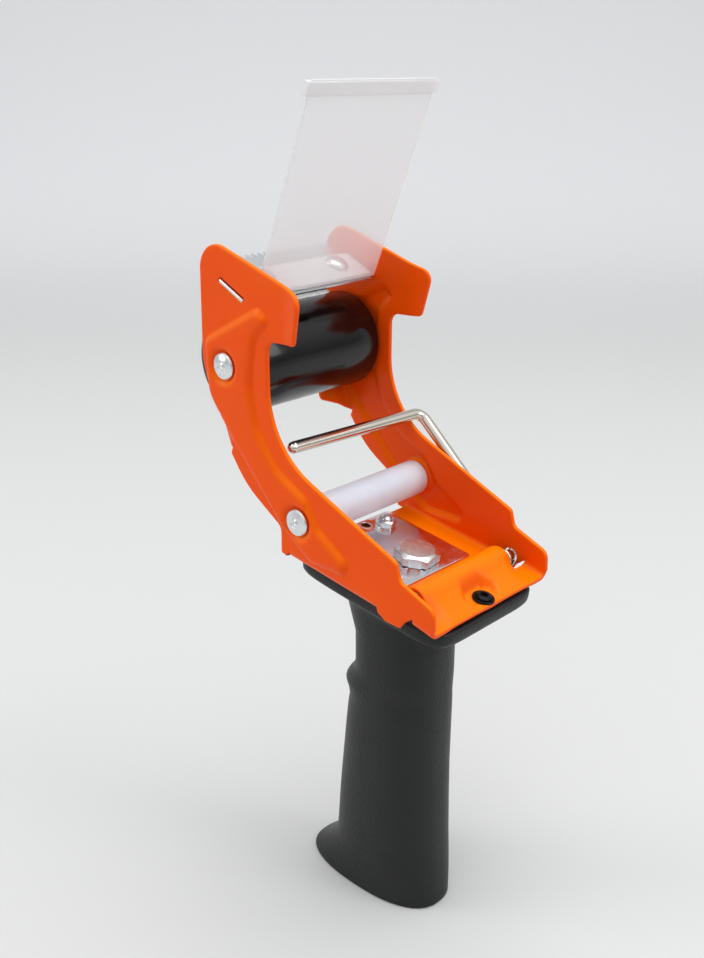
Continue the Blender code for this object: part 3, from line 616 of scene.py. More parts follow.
def makeSheetFrame():
    bm = bmesh.new()
    inset = sheetForm["rimRadius"]
    outline, marks = roundedOutline(cheekCorners)
    outline = insetOutline(outline, inset)
    tilt = math.radians(sheetForm["floorTilt"])
    floorAlong, floorUp = Vector((math.cos(tilt), -math.sin(tilt))), Vector((math.sin(tilt), math.cos(tilt)))
    lipAlong = (Vector(sheetForm["lipRear"]) - Vector(sheetForm["lipFront"])).normalized()
    gap = 0.8 + inset
    slot = dividedEdges([onBlade(-bladePlane["tabEnd"] - inset, -gap), onBlade(-bladePlane["tabStart"] + inset, -gap),
                         onBlade(-bladePlane["tabStart"] + inset, gap), onBlade(-bladePlane["tabEnd"] - inset, gap)], 0.9)
    floorS, lipT = [], []
    for side in (-1, 1):
        holes = [slot]
        if side > 0:
            holes.append(ring(armForm["pivot"], armForm["radius"] + 0.6 + inset))
        seats = [ring(centre, sheetForm["dimple"] + sheetForm["dimpleWall"] * share, 36)
                 for centre in axleCentres for share in (0.0, 0.5, 1.0)]
        points, triangles = fillOutline(dividedEdges(outline, sheetForm["spacing"]), holes, sheetForm["spacing"], seats)
        y = side * (sheetForm["halfWidth"] + cheekRelief(points[:, 0], points[:, 1]))
        addPatch(bm, np.column_stack((points[:, 0], y, points[:, 1])), triangles)
        floorS = addFold(bm, foldLine(outline, marks, "floorStart", "floorEnd"), side,
                         onFloor(0, 0.75), floorAlong, floorUp, sheetForm["bend"])
        lipT = addFold(bm, foldLine(outline, marks, "lipStart", "lipEnd"), side,
                       sheetForm["lipFront"], lipAlong, lipUp, sheetForm["lipRise"])
        addEar(bm, foldLine(outline, marks, "earStart", "earEnd"), side)
    edge = sheetForm["halfWidth"] - sheetForm["bend"]
    narrow = sheetForm["humpHalfWidth"] - inset
    lipT = [lipStartT + d / lipSpan * (lipEndT - lipStartT) for d in lipT]
    corner, _ = roundedOutline([(floorS[-1], edge, 0), (floorS[-1], narrow, 1.2),
                                (lipT[0], narrow, 1.2), (lipT[0], edge, 0)], 20.0)
    far = [(s, edge) for s in floorS] + corner[1:-1] + [(t, edge) for t in lipT]
    loop = far + [(t, -y) for t, y in reversed(far)]
    divided = []
    for a, b in zip(loop, loop[1:] + loop[:1]):
        fixed = abs(abs(a[1]) - edge) < 1e-6 and abs(a[1] - b[1]) < 1e-6
        pieces = 1 if fixed else max(1, math.ceil(math.dist(a, b) / sheetForm["spacing"]))
        divided += [(a[0] + (b[0] - a[0]) * k / pieces, a[1] + (b[1] - a[1]) * k / pieces) for k in range(pieces)]
    points, triangles = fillOutline(divided, [ring((-13.2, 3.0), 1.9 + inset)], sheetForm["spacing"])
    placed = floorPlace(points[:, 0], points[:, 1])
    addPatch(bm, np.column_stack((placed[:, 0], points[:, 1], placed[:, 1])), triangles)
    return toPiece("sheetFrame", thickened(bm, sheetForm["thickness"], inset), powderCoat, 50.0)


settle(makeSheetFrame(), "dispenser_body", "orange_powder_coat", "frame")


# ---- moulded grip ----

gripForm = {
    "halfWidth": 14.0, "baseRound": 1.0, "around": 96,
    # (height, x) up the toe, the front of the grip and the finger stop, and up its back
    "front": [(0.0, -26.0), (0.8, -26.3), (2.0, -25.3), (4.3, -22.6), (7.0, -19.8), (9.8, -17.4), (13.0, -15.3),
              (17.0, -14.2), (24.0, -13.6), (36.0, -12.6), (48.0, -11.3), (60.0, -10.0), (68.0, -9.0), (71.5, -8.4),
              (74.5, -9.0), (77.0, -10.1), (79.6, -8.6), (83.0, -6.0), (88.0, -5.6), (96.0, -5.7)],
    "back": [(0.0, 27.9), (8.0, 27.5), (15.0, 27.0), (24.0, 26.4), (36.0, 25.9), (50.0, 25.4), (100.0, 25.2)],
    "flangeFront": -18.0, "flangeRear": 40.6, "flangeHalfWidth": 24.0, "flangeGap": 0.3,
    # (share of the way out, depth under the floor, squareness) up the neck
    "neck": [(0.0, 14.6, 2.4), (0.2, 12.4, 2.5), (0.4, 10.6, 2.7), (0.6, 9.0, 3.0), (0.8, 7.5, 3.8), (1.0, 6.1, 5.5)],
    "neckFront": -9.8, "neckRear": 24.3, "neckHalfWidth": 14.3,
    # (inset, depth) round the flange's edge
    "flangeEdge": [(1.2, 5.3), (0.5, 4.7), (0.1, 4.0), (0.0, 3.2), (0.0, 0.9), (0.25, 0.35), (0.8, 0.0)],
}


def ovalRing(front, rear, halfWidth, power, count):
    middle, reach = (front + rear) / 2, (rear - front) / 2
    points = []
    for k in range(count):
        cos, sin = math.cos(2 * math.pi * (k + 0.5) / count), math.sin(2 * math.pi * (k + 0.5) / count)
        points.append((middle + reach * math.copysign(abs(cos) ** (2 / power), cos),
                       halfWidth * math.copysign(abs(sin) ** (2 / power), sin)))
    return points


def makeGrip():
    frontLine, _ = smoothLine([(front, z) for z, front in gripForm["front"]], 4)
    backHeights, backs = zip(*gripForm["back"])
    count = gripForm["around"]
    rings = []
    for front, z in frontLine:
        # small radius round the flat base
        rise = min(z / gripForm["baseRound"], 1.0)
        shrink = gripForm["baseRound"] * (1 - math.sqrt(1 - (1 - rise) ** 2))
        back = float(np.interp(z, backHeights, backs))
        rings.append([(x, y, z) for x, y in ovalRing(front + shrink, back - shrink, gripForm["halfWidth"] - shrink, 2.4, count)])
    # the neck swells out into the flange, whose edge is softened
    flangeFront, flangeRear, flangeHalf = (gripForm[key] for key in ("flangeFront", "flangeRear", "flangeHalfWidth"))
    neckFront, neckRear, neckHalf = (gripForm[key] for key in ("neckFront", "neckRear", "neckHalfWidth"))
    levels = []
    for share, depth, power in gripForm["neck"]:
        grow = share ** 2.0
        front = neckFront + (flangeFront + 1.4 - neckFront) * share
        rear = neckRear + (flangeRear - 3.0 - neckRear) * grow
        half = neckHalf + (flangeHalf - 2.4 - neckHalf) * grow
        levels.append((depth, ovalRing(front, rear, half, power, count)))
    for inset, depth in gripForm["flangeEdge"]:
        levels.append((depth, ovalRing(flangeFront + inset, flangeRear - inset, flangeHalf - inset, 8.0, count)))
    for depth, points in levels:
        placed = [(onFloor(s, -gripForm["flangeGap"] - depth), y) for s, y in points]
        rings.append([(x, y, z) for (x, z), y in placed])
    return toPiece("mouldedGrip", skinned(rings), gripPlastic, 50.0)


settle(makeGrip(), "dispenser_body", "black_grip_plastic", "handle")


# ---- rollers ----

rollerForm = {"frontCentre": (-40.2, 0, 177.7), "frontRadius": 15.5, "frontLength": 49.0, "frontBore": 13.0,
              "guideCentre": (-9.3, 0, 135.8), "guideRadius": 5.7, "guideLength": 51.0, "guideBore": 3.4}


def sleeveProfile(outer, inner, length, chamfer):
    half = length / 2
    side = [(inner, half - 0.3), (inner + 0.3, half), (outer - chamfer, half),
            (outer - chamfer * 0.3, half - chamfer * 0.3), (outer, half - chamfer)]
    return [(radius, -y) for radius, y in side] + [(outer, y) for y in (-half * 0.5, 0.0, half * 0.5)] + side[::-1]


sleeve = sleeveProfile(rollerForm["frontRadius"], rollerForm["frontBore"], rollerForm["frontLength"], 0.9)
sleeve = turnedShape(sleeve, 96, rollerForm["frontCentre"], closed=True)
settle(toPiece("rubberSleeve", sleeve, sleeveRubber), "front_roller", "black_rubber", "front_roller_rubber")
tube = sleeveProfile(rollerForm["guideRadius"], rollerForm["guideBore"], rollerForm["guideLength"], 0.5)
tube = turnedShape(tube, 64, rollerForm["guideCentre"], closed=True)
settle(toPiece("nylonGuide", tube, milkyNylon), "guide_roller", "milky_nylon", "guide_roller")


# ---- axle rivets ----

rivetForm = {"headRadius": 4.2, "headHeight": 1.7, "shank": 3.0, "seat": 27.6}


def drawRivets(tree, sizes):
    # one head on each end of both axles, and the rods between them
    line = addNode(tree, "GeometryNodeMeshToPoints", {"Mesh": sizes["Geometry"]})
    head = addNode(tree, "GeometryNodeObjectInfo", {"Object": sizes["Head"]})
    rod = addNode(tree, "GeometryNodeObjectInfo", {"Object": sizes["Rod"]})
    joined = addNode(tree, "GeometryNodeJoinGeometry")
    for sign in (1, -1):
        reach = addNode(tree, "ShaderNodeMath", {0: sizes["Seat"], 1: float(sign)}, operation="MULTIPLY")
        offset = addNode(tree, "ShaderNodeCombineXYZ", {"Y": reach})
        moved = addNode(tree, "GeometryNodeSetPosition", {"Geometry": line, "Offset": offset})
        heads = addNode(tree, "GeometryNodeInstanceOnPoints", {"Points": moved, "Instance": head.outputs["Geometry"],
                                                              "Rotation": (math.radians(-90 * sign), 0, 0)})
        tree.links.new(heads.outputs[0], joined.inputs[0])
    rods = addNode(tree, "GeometryNodeInstanceOnPoints", {"Points": line, "Instance": rod.outputs["Geometry"],
                                                         "Rotation": (math.radians(90), 0, 0)})
    tree.links.new(rods.outputs[0], joined.inputs[0])
    return joined.outputs[0]


def makeAxleRivets():
    r, h, shank = rivetForm["headRadius"], rivetForm["headHeight"], rivetForm["shank"]
    # formed head: rolled edge, shallow dome, punch ring and centre dimple
    head = [(0, -0.8), (shank, -0.8), (shank, 0.0), (r - 0.25, 0.0), (r, 0.25), (r, 0.7), (r - 0.3, 1.1), (r - 1.0, h * 0.72),
            (r - 1.9, h * 0.9), (1.75, h * 0.95), (1.55, h * 0.8), (1.2, h * 0.78), (0.9, h * 0.92), (0.45, h * 0.95),
            (0.2, h * 0.86), (0, h * 0.82)]
    headShape = toPiece("rivetHead", turnedShape(head, 40, axis="Z"), brightZinc)
    seat = rivetForm["seat"] - 0.6
    rod = turnedShape([(0, -seat), (shank, -seat), (shank, seat), (0, seat)], 32, axis="Z")
    rodShape = toPiece("rivetRod", rod, brightZinc)
    points = pathMesh("axleCentres", [rollerForm["frontCentre"], rollerForm["guideCentre"]])
    sizes = {"Head": headShape, "Rod": rodShape, "Seat": rivetForm["seat"] * mm}
    made = grown("axleRivets", sizes, brightZinc, drawRivets, points)
    for spare in (headShape, rodShape):
        bpy.data.objects.remove(spare)
    return made


settle(makeAxleRivets(), "dispenser_body", "zinc_plated_steel", "front_axle", "guide_axle")


# ---- blade and its bracket ----

bladeForm = {"halfWidth": 25.2, "depth": 20.5, "rear": -1.4, "toothHeight": 2.6, "toothPitch": 2.5, "thickness": 0.6, "lift": 0.8}
bracketForm = {"wall": 25.4, "tabReach": 27.9, "tabStart": 3.6, "tabEnd": 14.8, "depth": 17.5, "thickness": 1.0,
               "step": 5.0, "stepBack": 2.6}


def drawBlade(tree, sizes):
    # a strip whose front row of points steps in and out for the teeth, then given its thickness
    columns = addNode(tree, "ShaderNodeMath", {0: sizes["Teeth"], 1: 2.0, 2: 1.0}, operation="MULTIPLY_ADD")
    sheet = addNode(tree, "GeometryNodeMeshGrid", {"Size X": sizes["Depth"], "Size Y": sizes["Width"],
                                                   "Vertices X": 2, "Vertices Y": columns})
    number = addNode(tree, "GeometryNodeInputIndex")
    row = addNode(tree, "ShaderNodeMath", {0: number, 1: columns}, operation="MODULO")
    odd = addNode(tree, "ShaderNodeMath", {0: row, 1: 2.0}, operation="MODULO")
    front = addNode(tree, "ShaderNodeMath", {0: number, 1: columns}, operation="LESS_THAN")
    isTip = addNode(tree, "ShaderNodeMath", {0: odd, 1: front}, operation="MULTIPLY")
    reach = addNode(tree, "ShaderNodeMath", {0: isTip, 1: sizes["Tooth"]}, operation="MULTIPLY")
    back = addNode(tree, "ShaderNodeMath", {0: reach, 1: -1.0}, operation="MULTIPLY")
    offset = addNode(tree, "ShaderNodeCombineXYZ", {"X": back})
    toothed = addNode(tree, "GeometryNodeSetPosition", {"Geometry": sheet, "Offset": offset})
    raised = addNode(tree, "GeometryNodeExtrudeMesh", {"Mesh": toothed, "Offset": (0, 0, 1),
                                                       "Offset Scale": sizes["Thickness"], "Individual": False})
    under = addNode(tree, "GeometryNodeFlipFaces", {"Mesh": toothed})
    joined = addNode(tree, "GeometryNodeJoinGeometry")
    tree.links.new(raised.outputs[0], joined.inputs[0])
    tree.links.new(under.outputs[0], joined.inputs[0])
    closed = addNode(tree, "GeometryNodeMergeByDistance", {"Geometry": joined, "Distance": 0.01 * mm})
    middle = addNode(tree, "ShaderNodeMath", {0: sizes["Depth"], 1: -0.5, 2: sizes["Rear"]}, operation="MULTIPLY_ADD")
    lift = addNode(tree, "ShaderNodeCombineXYZ", {"X": middle, "Z": sizes["Lift"]})
    flat = addNode(tree, "GeometryNodeTransform", {"Geometry": closed, "Translation": lift})
    x, z = bladePlane["origin"]
    leaned = addNode(tree, "GeometryNodeTransform", {"Geometry": flat, "Rotation": (0, math.radians(bladePlane["tilt"]), 0),
                                                     "Translation": (x * mm, 0, z * mm)})
    return leaned.outputs[0]


bladeSizes = {"Teeth": round(2 * bladeForm["halfWidth"] / bladeForm["toothPitch"]),
              "Depth": (bladeForm["depth"] + bladeForm["rear"]) * mm, "Rear": bladeForm["rear"] * mm,
              "Width": 2 * bladeForm["halfWidth"] * mm, "Tooth": bladeForm["toothHeight"] * mm,
              "Thickness": bladeForm["thickness"] * mm, "Lift": bladeForm["lift"] * mm}
blade = grown("toothedBlade", bladeSizes, bladeSteel, drawBlade, bpy.data.meshes.new("bladeStart"))
settle(blade, "dispenser_body", "bright_steel", "blade")


def plateShape(outline, holes, low, high, edge=0.25):
    # flat stamped piece with a softened edge
    bm = bmesh.new()
    points, triangles = fillOutline(dividedEdges(outline, 2.0), holes, 2.5)
    addPatch(bm, np.column_stack((points, np.full(len(points), (low + high) / 2))), triangles)
    return thickened(bm, high - low, edge)


def makeBracket():
    # half outline as (x, y, radius), with the tab that goes through the cheek
    wall, reach, start, end, depth = (bracketForm[key] for key in ("wall", "tabReach", "tabStart", "tabEnd", "depth"))
    tab = [(-start, wall, 0.3), (-start, reach, 0.3), (-end, reach, 0.3), (-end, wall, 0.3), (-depth, wall, 0.5)]
    half = [(0, wall, 0.5)] + tab
    step, back = bracketForm["step"], bracketForm["stepBack"]
    far = [(-back, step, 0.4), (-back, wall, 0.5)] + tab
    outline, _ = roundedOutline([(x, -y, r) for x, y, r in reversed(half)] + [(0, step, 0.4)] + far, 30.0)
    thick = bracketForm["thickness"]
    bracket = plateShape(insetOutline(outline, 0.25), [], -thick / 2, thick / 2)
    return toPiece("bladeBracket", tilted(bracket, bladePlane["origin"], bladePlane["tilt"]), brightZinc)


settle(makeBracket(), "dispenser_body", "zinc_plated_steel", "blade_bracket")


# ---- clear guard ----

guardForm = {"halfWidth": 25.2, "thickness": 1.0, "baseLift": 1.7, "baseDepth": 14.0, "baseFront": -0.9,
             "lean": 21.7, "length": 63.3, "foldRadius": 0.9, "barWidth": 26.6, "barHeight": 4.0, "hinge": (-27.9, 199.9),
             "rivetX": -9.4, "rivetY": 15.5, "rivetHead": 3.7}


def makeGuard():
    # one sheet: along the base, round the fold, up the flap; the line is its middle, in (x, z)
    form = guardForm
    flapAlong = Vector((math.sin(math.radians(form["lean"])), math.cos(math.radians(form["lean"]))))
    flapBack = Vector((-flapAlong.y, flapAlong.x)) * (form["thickness"] / 2)
    baseLine = [Vector(onBlade(x, form["baseLift"] + form["thickness"] / 2)) for x in (-form["baseDepth"], form["baseFront"])]
    flapFoot = Vector(form["hinge"]) + flapBack
    baseAlong = (baseLine[1] - baseLine[0]).normalized()
    across = baseAlong.x * flapAlong.y - baseAlong.y * flapAlong.x
    toFoot = flapFoot - baseLine[0]
    corner = baseLine[0] + baseAlong * ((toFoot.x * flapAlong.y - toFoot.y * flapAlong.x) / across)
    line = [baseLine[0] + (corner - baseLine[0]) * k / 12 for k in range(12)]
    radius = form["foldRadius"]
    half = baseAlong.angle(flapAlong)
    reach = radius * math.tan(half / 2)
    start, end = corner - baseAlong * reach, corner + flapAlong * reach
    line[-1] = corner - baseAlong * (reach + 0.6)
    for k in range(9):
        share = k / 8
        line.append(start * (1 - share) ** 2 + corner * 2 * share * (1 - share) + end * share ** 2)
    top = flapFoot + flapAlong * form["length"]
    line += [end + (top - end) * k / 40 for k in range(1, 41)]
    bm = bmesh.new()
    columns = [-form["halfWidth"] + 0.3 + (2 * form["halfWidth"] - 0.6) * k / 30 for k in range(31)]
    rows = [[bm.verts.new((p.x, y, p.y)) for y in columns] for p in line]
    for low, high in zip(rows, rows[1:]):
        for k in range(30):
            bm.faces.new((low[k], low[k + 1], high[k + 1], high[k]))
    sheet = thickened(bm, form["thickness"], 0.3)
    # moulded bar along the top
    topMiddle = flapFoot + flapAlong * (form["length"] - form["barHeight"] / 2)
    outline, _ = roundedOutline([(-1, -2, 0.4), (1, -2, 0.4), (1, 2, 0.7), (-1, 2, 0.7)], 22.5)
    back = flapBack.normalized()
    rings = []
    wide, soft = form["barWidth"], 0.35
    for y, inset in ((-wide, soft), (-wide + soft, 0.0), (wide - soft, 0.0), (wide, soft)):
        rings.append([(topMiddle.x + back.x * a * (1 - inset * 0.6) + flapAlong.x * b * (1 - inset * 0.3), y,
                       topMiddle.y + back.y * a * (1 - inset * 0.6) + flapAlong.y * b * (1 - inset * 0.3)) for a, b in outline])
    piece = toPiece("clearGuard", joinShapes(sheet, skinned(rings)), guardPlastic, 50.0)
    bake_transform(piece)
    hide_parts("guard_base", "guard_flap")
    print(f"clearGuard: {len(piece.data.polygons)} faces, bends between the body and the flap")


makeGuard()


def drawGuardRivets(tree, sizes):
    points = addNode(tree, "GeometryNodeMeshToPoints", {"Mesh": sizes["Geometry"]})
    head = addNode(tree, "GeometryNodeObjectInfo", {"Object": sizes["Rivet"]})
    placed = addNode(tree, "GeometryNodeInstanceOnPoints", {"Points": points, "Instance": head.outputs["Geometry"],
                                                           "Rotation": (0, math.radians(bladePlane["tilt"]), 0)})
    return placed.outputs[0]


def makeGuardRivets():
    r = guardForm["rivetHead"]
    seat = guardForm["baseLift"] + guardForm["thickness"] + 0.05
    profile = [(0, -1.6), (2.2, -1.6), (2.5, -0.8), (1.5, -0.8), (1.5, seat), (r - 0.2, seat), (r, seat + 0.2)]
    profile += [(r * math.cos(math.radians(a)), seat + 0.2 + 1.6 * math.sin(math.radians(a))) for a in range(15, 90, 15)]
    profile += [(0, seat + 1.8)]
    rivet = toPiece("guardRivet", turnedShape(profile, 36, axis="Z"), brightZinc)
    x, z = onBlade(guardForm["rivetX"], 0)
    points = pathMesh("guardRivetCentres", [(x, -guardForm["rivetY"], z), (x, guardForm["rivetY"], z)])
    made = grown("guardRivets", {"Rivet": rivet}, brightZinc, drawGuardRivets, points)
    bpy.data.objects.remove(rivet)
    return made


settle(makeGuardRivets(), "dispenser_body", "zinc_plated_steel", "guard_rivet_near", "guard_rivet_far")


# ---- wire arm and its spring ----

def drawArm(tree, sizes):
    # straight runs with round bends, swept with a round section whose ends are domed
    line = addNode(tree, "GeometryNodeMeshToCurve", {"Mesh": sizes["Geometry"]})
    bends = addNode(tree, "GeometryNodeFilletCurve", {"Curve": line, "Radius": sizes["Bend"], "Limit Radius": True, "Count": 10},
                    mode="POLY")
    along = addNode(tree, "GeometryNodeSplineParameter")
    total = addNode(tree, "GeometryNodeSplineLength")
    left = addNode(tree, "ShaderNodeMath", {0: total.outputs["Length"], 1: along.outputs["Length"]}, operation="SUBTRACT")
    nearest = addNode(tree, "ShaderNodeMath", {0: left, 1: along.outputs["Length"]}, operation="MINIMUM")
    share = addNode(tree, "ShaderNodeMath", {0: nearest, 1: sizes["Dome"]}, operation="DIVIDE", use_clamp=True)
    short = addNode(tree, "ShaderNodeMath", {0: 1.0, 1: share}, operation="SUBTRACT")
    square = addNode(tree, "ShaderNodeMath", {0: short, 1: short}, operation="MULTIPLY")
    rest = addNode(tree, "ShaderNodeMath", {0: 1.0, 1: square}, operation="SUBTRACT")
    root = addNode(tree, "ShaderNodeMath", {0: rest}, operation="SQRT")
    dome = addNode(tree, "ShaderNodeMath", {0: root, 1: 0.45}, operation="MAXIMUM")
    section = addNode(tree, "GeometryNodeCurvePrimitiveCircle", {"Resolution": 28, "Radius": sizes["Radius"]})
    swept = addNode(tree, "GeometryNodeCurveToMesh", {"Curve": bends, "Profile Curve": section, "Scale": dome, "Fill Caps": True})
    return swept.outputs[0]


def makeArm():
    form = armForm
    pivot, bar = form["pivot"], form["bar"]
    near = [0.0, 0.25, 0.7, 1.2, 1.9]  # closer points where an end is domed
    tip = Vector((bar[0] + form["tipShift"], form["tip"], bar[1]))
    cornerFar = Vector((bar[0], form["outside"], bar[1]))
    back = (cornerFar - tip).normalized()
    points = [Vector((pivot[0], form["rodEnd"] + d, pivot[1])) for d in near]
    points += [Vector((pivot[0], form["outside"], pivot[1])), cornerFar]
    points += [tip + back * d for d in reversed(near)]
    sizes = {"Bend": form["bend"] * mm, "Radius": form["radius"] * mm, "Dome": form["dome"] * mm}
    made = grown("wireArm", sizes, drawnWire, drawArm, pathMesh("armLine", points))
    made.data.shade_smooth()
    made.data.set_sharp_from_angle(angle=math.radians(60))
    return made


settle(makeArm(), "tape_arm", "bright_steel", "tape_arm")

springForm = {"wire": 0.52, "coil": 2.72, "start": 3.6, "turns": 10.0, "length": 21.0}


def drawSpring(tree, sizes):
    coil = addNode(tree, "GeometryNodeCurveSpiral", {"Resolution": 28, "Rotations": sizes["Turns"], "Height": sizes["Length"],
                                                     "Start Radius": sizes["Coil"], "End Radius": sizes["Coil"]})
    section = addNode(tree, "GeometryNodeCurvePrimitiveCircle", {"Resolution": 10, "Radius": sizes["Wire"]})
    swept = addNode(tree, "GeometryNodeCurveToMesh", {"Curve": coil, "Profile Curve": section, "Fill Caps": True})
    x, z = armForm["pivot"]
    turned = addNode(tree, "GeometryNodeTransform", {"Geometry": swept, "Rotation": (math.radians(-90), 0, 0),
                                                     "Translation": (x * mm, springForm["start"] * mm, z * mm)})
    return turned.outputs[0]


springSizes = {"Turns": springForm["turns"], "Coil": springForm["coil"] * mm, "Wire": springForm["wire"] * mm,
               "Length": springForm["length"] * mm}
spring = grown("armSpring", springSizes, drawnWire, drawSpring, bpy.data.meshes.new("springStart"))
spring.data.shade_smooth()
settle(spring, "dispenser_body", "bright_steel", "arm_spring")


# ---- floor plate and fasteners ----

plateForm = {"front": -16.0, "rear": 19.0, "halfWidth": 16.2, "low": 1.8, "high": 3.3, "holeAt": (-13.2, 3.0), "hole": 1.7}
boltForm = {"at": 10.5, "across": 14.4, "turn": 6.0, "seat": 3.4, "height": 3.6, "faceRadius": 5.4}
studForm = {"at": -9.6, "spread": 8.4, "radius": 1.7, "top": 6.6, "pitch": 0.7, "nutAcross": 6.8, "nutHeight": 2.2}


def makeFloorPlate():
    form = plateForm
    front, rear, half = form["front"], form["rear"], form["halfWidth"]
    outline, _ = roundedOutline([(front, -half, 2), (rear, -half, 0.8), (rear, half, 0.8), (front, half, 2)], 15.0)
    hole = ring(form["holeAt"], form["hole"] + 0.3)
    shape = plateShape(insetOutline(outline, 0.3), [hole], form["low"], form["high"], 0.3)
    return toPiece("floorPlate", tilted(shape, sheetForm["floorOrigin"], sheetForm["floorTilt"]), mirrorPlate)


settle(makeFloorPlate(), "dispenser_body", "zinc_plated_steel", "floor_plate")


def hexShape(across, turn, low, high, faceRadius, bore=0.0, count=96):
    # hexagon prism whose top corners are turned off in a 30 degree chamfer
    apothem = across / 2 * math.cos(math.radians(30))
    angles = [2 * math.pi * k / count for k in range(count)]
    radii = [apothem / math.cos((a % (math.pi / 3)) - math.pi / 6) for a in angles]
    fall = math.tan(math.radians(30))
    levels = []
    if bore:
        levels.append([(bore, high - 0.4)] * count)
        levels.append([(bore + 0.4, high)] * count)
    levels.append([(faceRadius, high)] * count)
    levels.append([((faceRadius + r) / 2, high - (r - faceRadius) / 2 * fall) for r in radii])
    levels.append([(r, high - max(0.0, r - faceRadius) * fall) for r in radii])
    levels.append([(r - 0.05, low + 0.3) for r in radii])
    levels.append([(min(r, apothem * 1.02) - 0.1, low) for r in radii])
    if bore:
        levels.append([(bore, low)] * count)
    lean = math.radians(turn + 30)
    rings = [[(r * math.cos(a + lean), r * math.sin(a + lean), z) for a, (r, z) in zip(angles, level)] for level in levels]
    if not bore:
        return skinned(rings)
    bm = bmesh.new()
    made = [[bm.verts.new(p) for p in points] for points in rings]
    for inner, outer in zip(made, made[1:] + made[:1]):
        for k in range(count):
            after = (k + 1) % count
            bm.faces.new((inner[k], inner[after], outer[after], outer[k]))
    return bm


def placedOnFloor(bm, s, y):
    for vert in bm.verts:
        vert.co.x += s
        vert.co.y += y
    return tilted(bm, sheetForm["floorOrigin"], sheetForm["floorTilt"])


boltTop = boltForm["seat"] + boltForm["height"]
boltHead = hexShape(boltForm["across"], boltForm["turn"], boltForm["seat"], boltTop, boltForm["faceRadius"])
boltShank = turnedShape([(0, -26), (3.4, -26), (4.0, -25.4), (4.0, 3.6), (0, 3.6)], 40, axis="Z")
bolt = placedOnFloor(joinShapes(boltHead, boltShank), boltForm["at"], 0)
settle(toPiece("handleBolt", bolt, brightZinc, 25.0), "dispenser_body", "bright_steel", "handle_bolt")


def threadProfile(radius, low, high, pitch):
    profile = [(0, low), (radius - 0.3, low)]
    for k in range(int((high - low - 0.6) / pitch)):
        at = low + 0.3 + k * pitch
        profile += [(radius - 0.35, at), (radius, at + pitch * 0.4), (radius, at + pitch * 0.6)]
    return profile + [(radius - 0.35, high - 0.3), (radius - 0.7, high), (0, high)]


for name, side in (("near", -1), ("far", 1)):
    place = studForm["at"], side * studForm["spread"]
    seat = plateForm["high"] + 0.05
    stud = turnedShape(threadProfile(studForm["radius"], -8.0, studForm["top"], studForm["pitch"]), 28, axis="Z")
    stud = toPiece(name + "Stud", placedOnFloor(stud, *place), brightZinc, 25.0)
    settle(stud, "dispenser_body", "bright_steel", name + "_stud")
    nut = hexShape(studForm["nutAcross"], 12.0, seat, seat + studForm["nutHeight"], 2.6, studForm["radius"] - 0.05, 60)
    nut = toPiece(name + "StudNut", placedOnFloor(nut, *place), brightZinc, 25.0)
    settle(nut, "dispenser_body", "zinc_plated_steel", name + "_stud_nut")


screwForm = {"place": (38.9, 116.76), "tilt": 13.5, "head": 3.4, "seat": 0.9}


def makeLipScrew():
    # low collar round a small domed head with a round socket
    head, seat = screwForm["head"], screwForm["seat"]
    profile = [(0, -7.0), (1.5, -7.0), (1.9, -6.0), (1.9, seat), (head, seat), (head, seat + 0.35), (head - 0.25, seat + 0.6),
               (2.75, seat + 0.5), (2.5, seat + 0.3), (2.4, seat + 0.35), (2.3, seat + 0.95), (1.95, seat + 1.3),
               (1.4, seat + 1.45), (1.15, seat + 1.4), (1.0, seat + 0.6), (0, seat + 0.5)]
    screw = tilted(turnedShape(profile, 48, axis="Z"), screwForm["place"], screwForm["tilt"])
    return toPiece("lipScrew", screw, blackOxide)


settle(makeLipScrew(), "dispenser_body", "blackened_steel", "lip_screw")


spacerProfile = [(rivetForm["shank"] + 0.3, -0.6), (5.0, -0.6), (5.0, 0.6), (rivetForm["shank"] + 0.3, 0.6)]
for name, side in (("near", -1), ("far", 1)):
    x, _, z = rollerForm["frontCentre"]
    spacer = turnedShape(spacerProfile, 32, (x, side * 25.3, z), closed=True)
    settle(toPiece(name + "Spacer", spacer, milkyNylon), "dispenser_body", "milky_nylon", "front_spacer_" + name)


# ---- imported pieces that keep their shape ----

for name, look in (("front_roller_core", gripPlastic), ("handle_insert", brightZinc), ("arm_retainer", brightZinc)):
    cadNodes[name].data.materials.clear()
    cadNodes[name].data.materials.append(look)


# ---- studio ----

studio = {"camera": (207.9, -234.8, 263.7), "turn": 43.42, "pitch": 20.84, "roll": -0.24, "lens": 41.33,
          "floorTone": "#d6d6d5", "wallTone": "#eeeeef", "zenith": "#f6f8fa", "horizon": "#9c9da0", "distance": "#dedee0"}
camera = bpy.data.objects.new("camera", bpy.data.cameras.new("camera"))
camera.location = [value * mm for value in studio["camera"]]
camera.rotation_euler = (math.radians(90 - studio["pitch"]), math.radians(studio["roll"]), math.radians(studio["turn"]))
camera.data.lens = studio["lens"]
camera.data.sensor_width = 36
camera.data.clip_start = 0.01
bpy.context.collection.objects.link(camera)
bpy.context.scene.camera = camera
bpy.context.scene.view_settings.view_transform = "Standard"

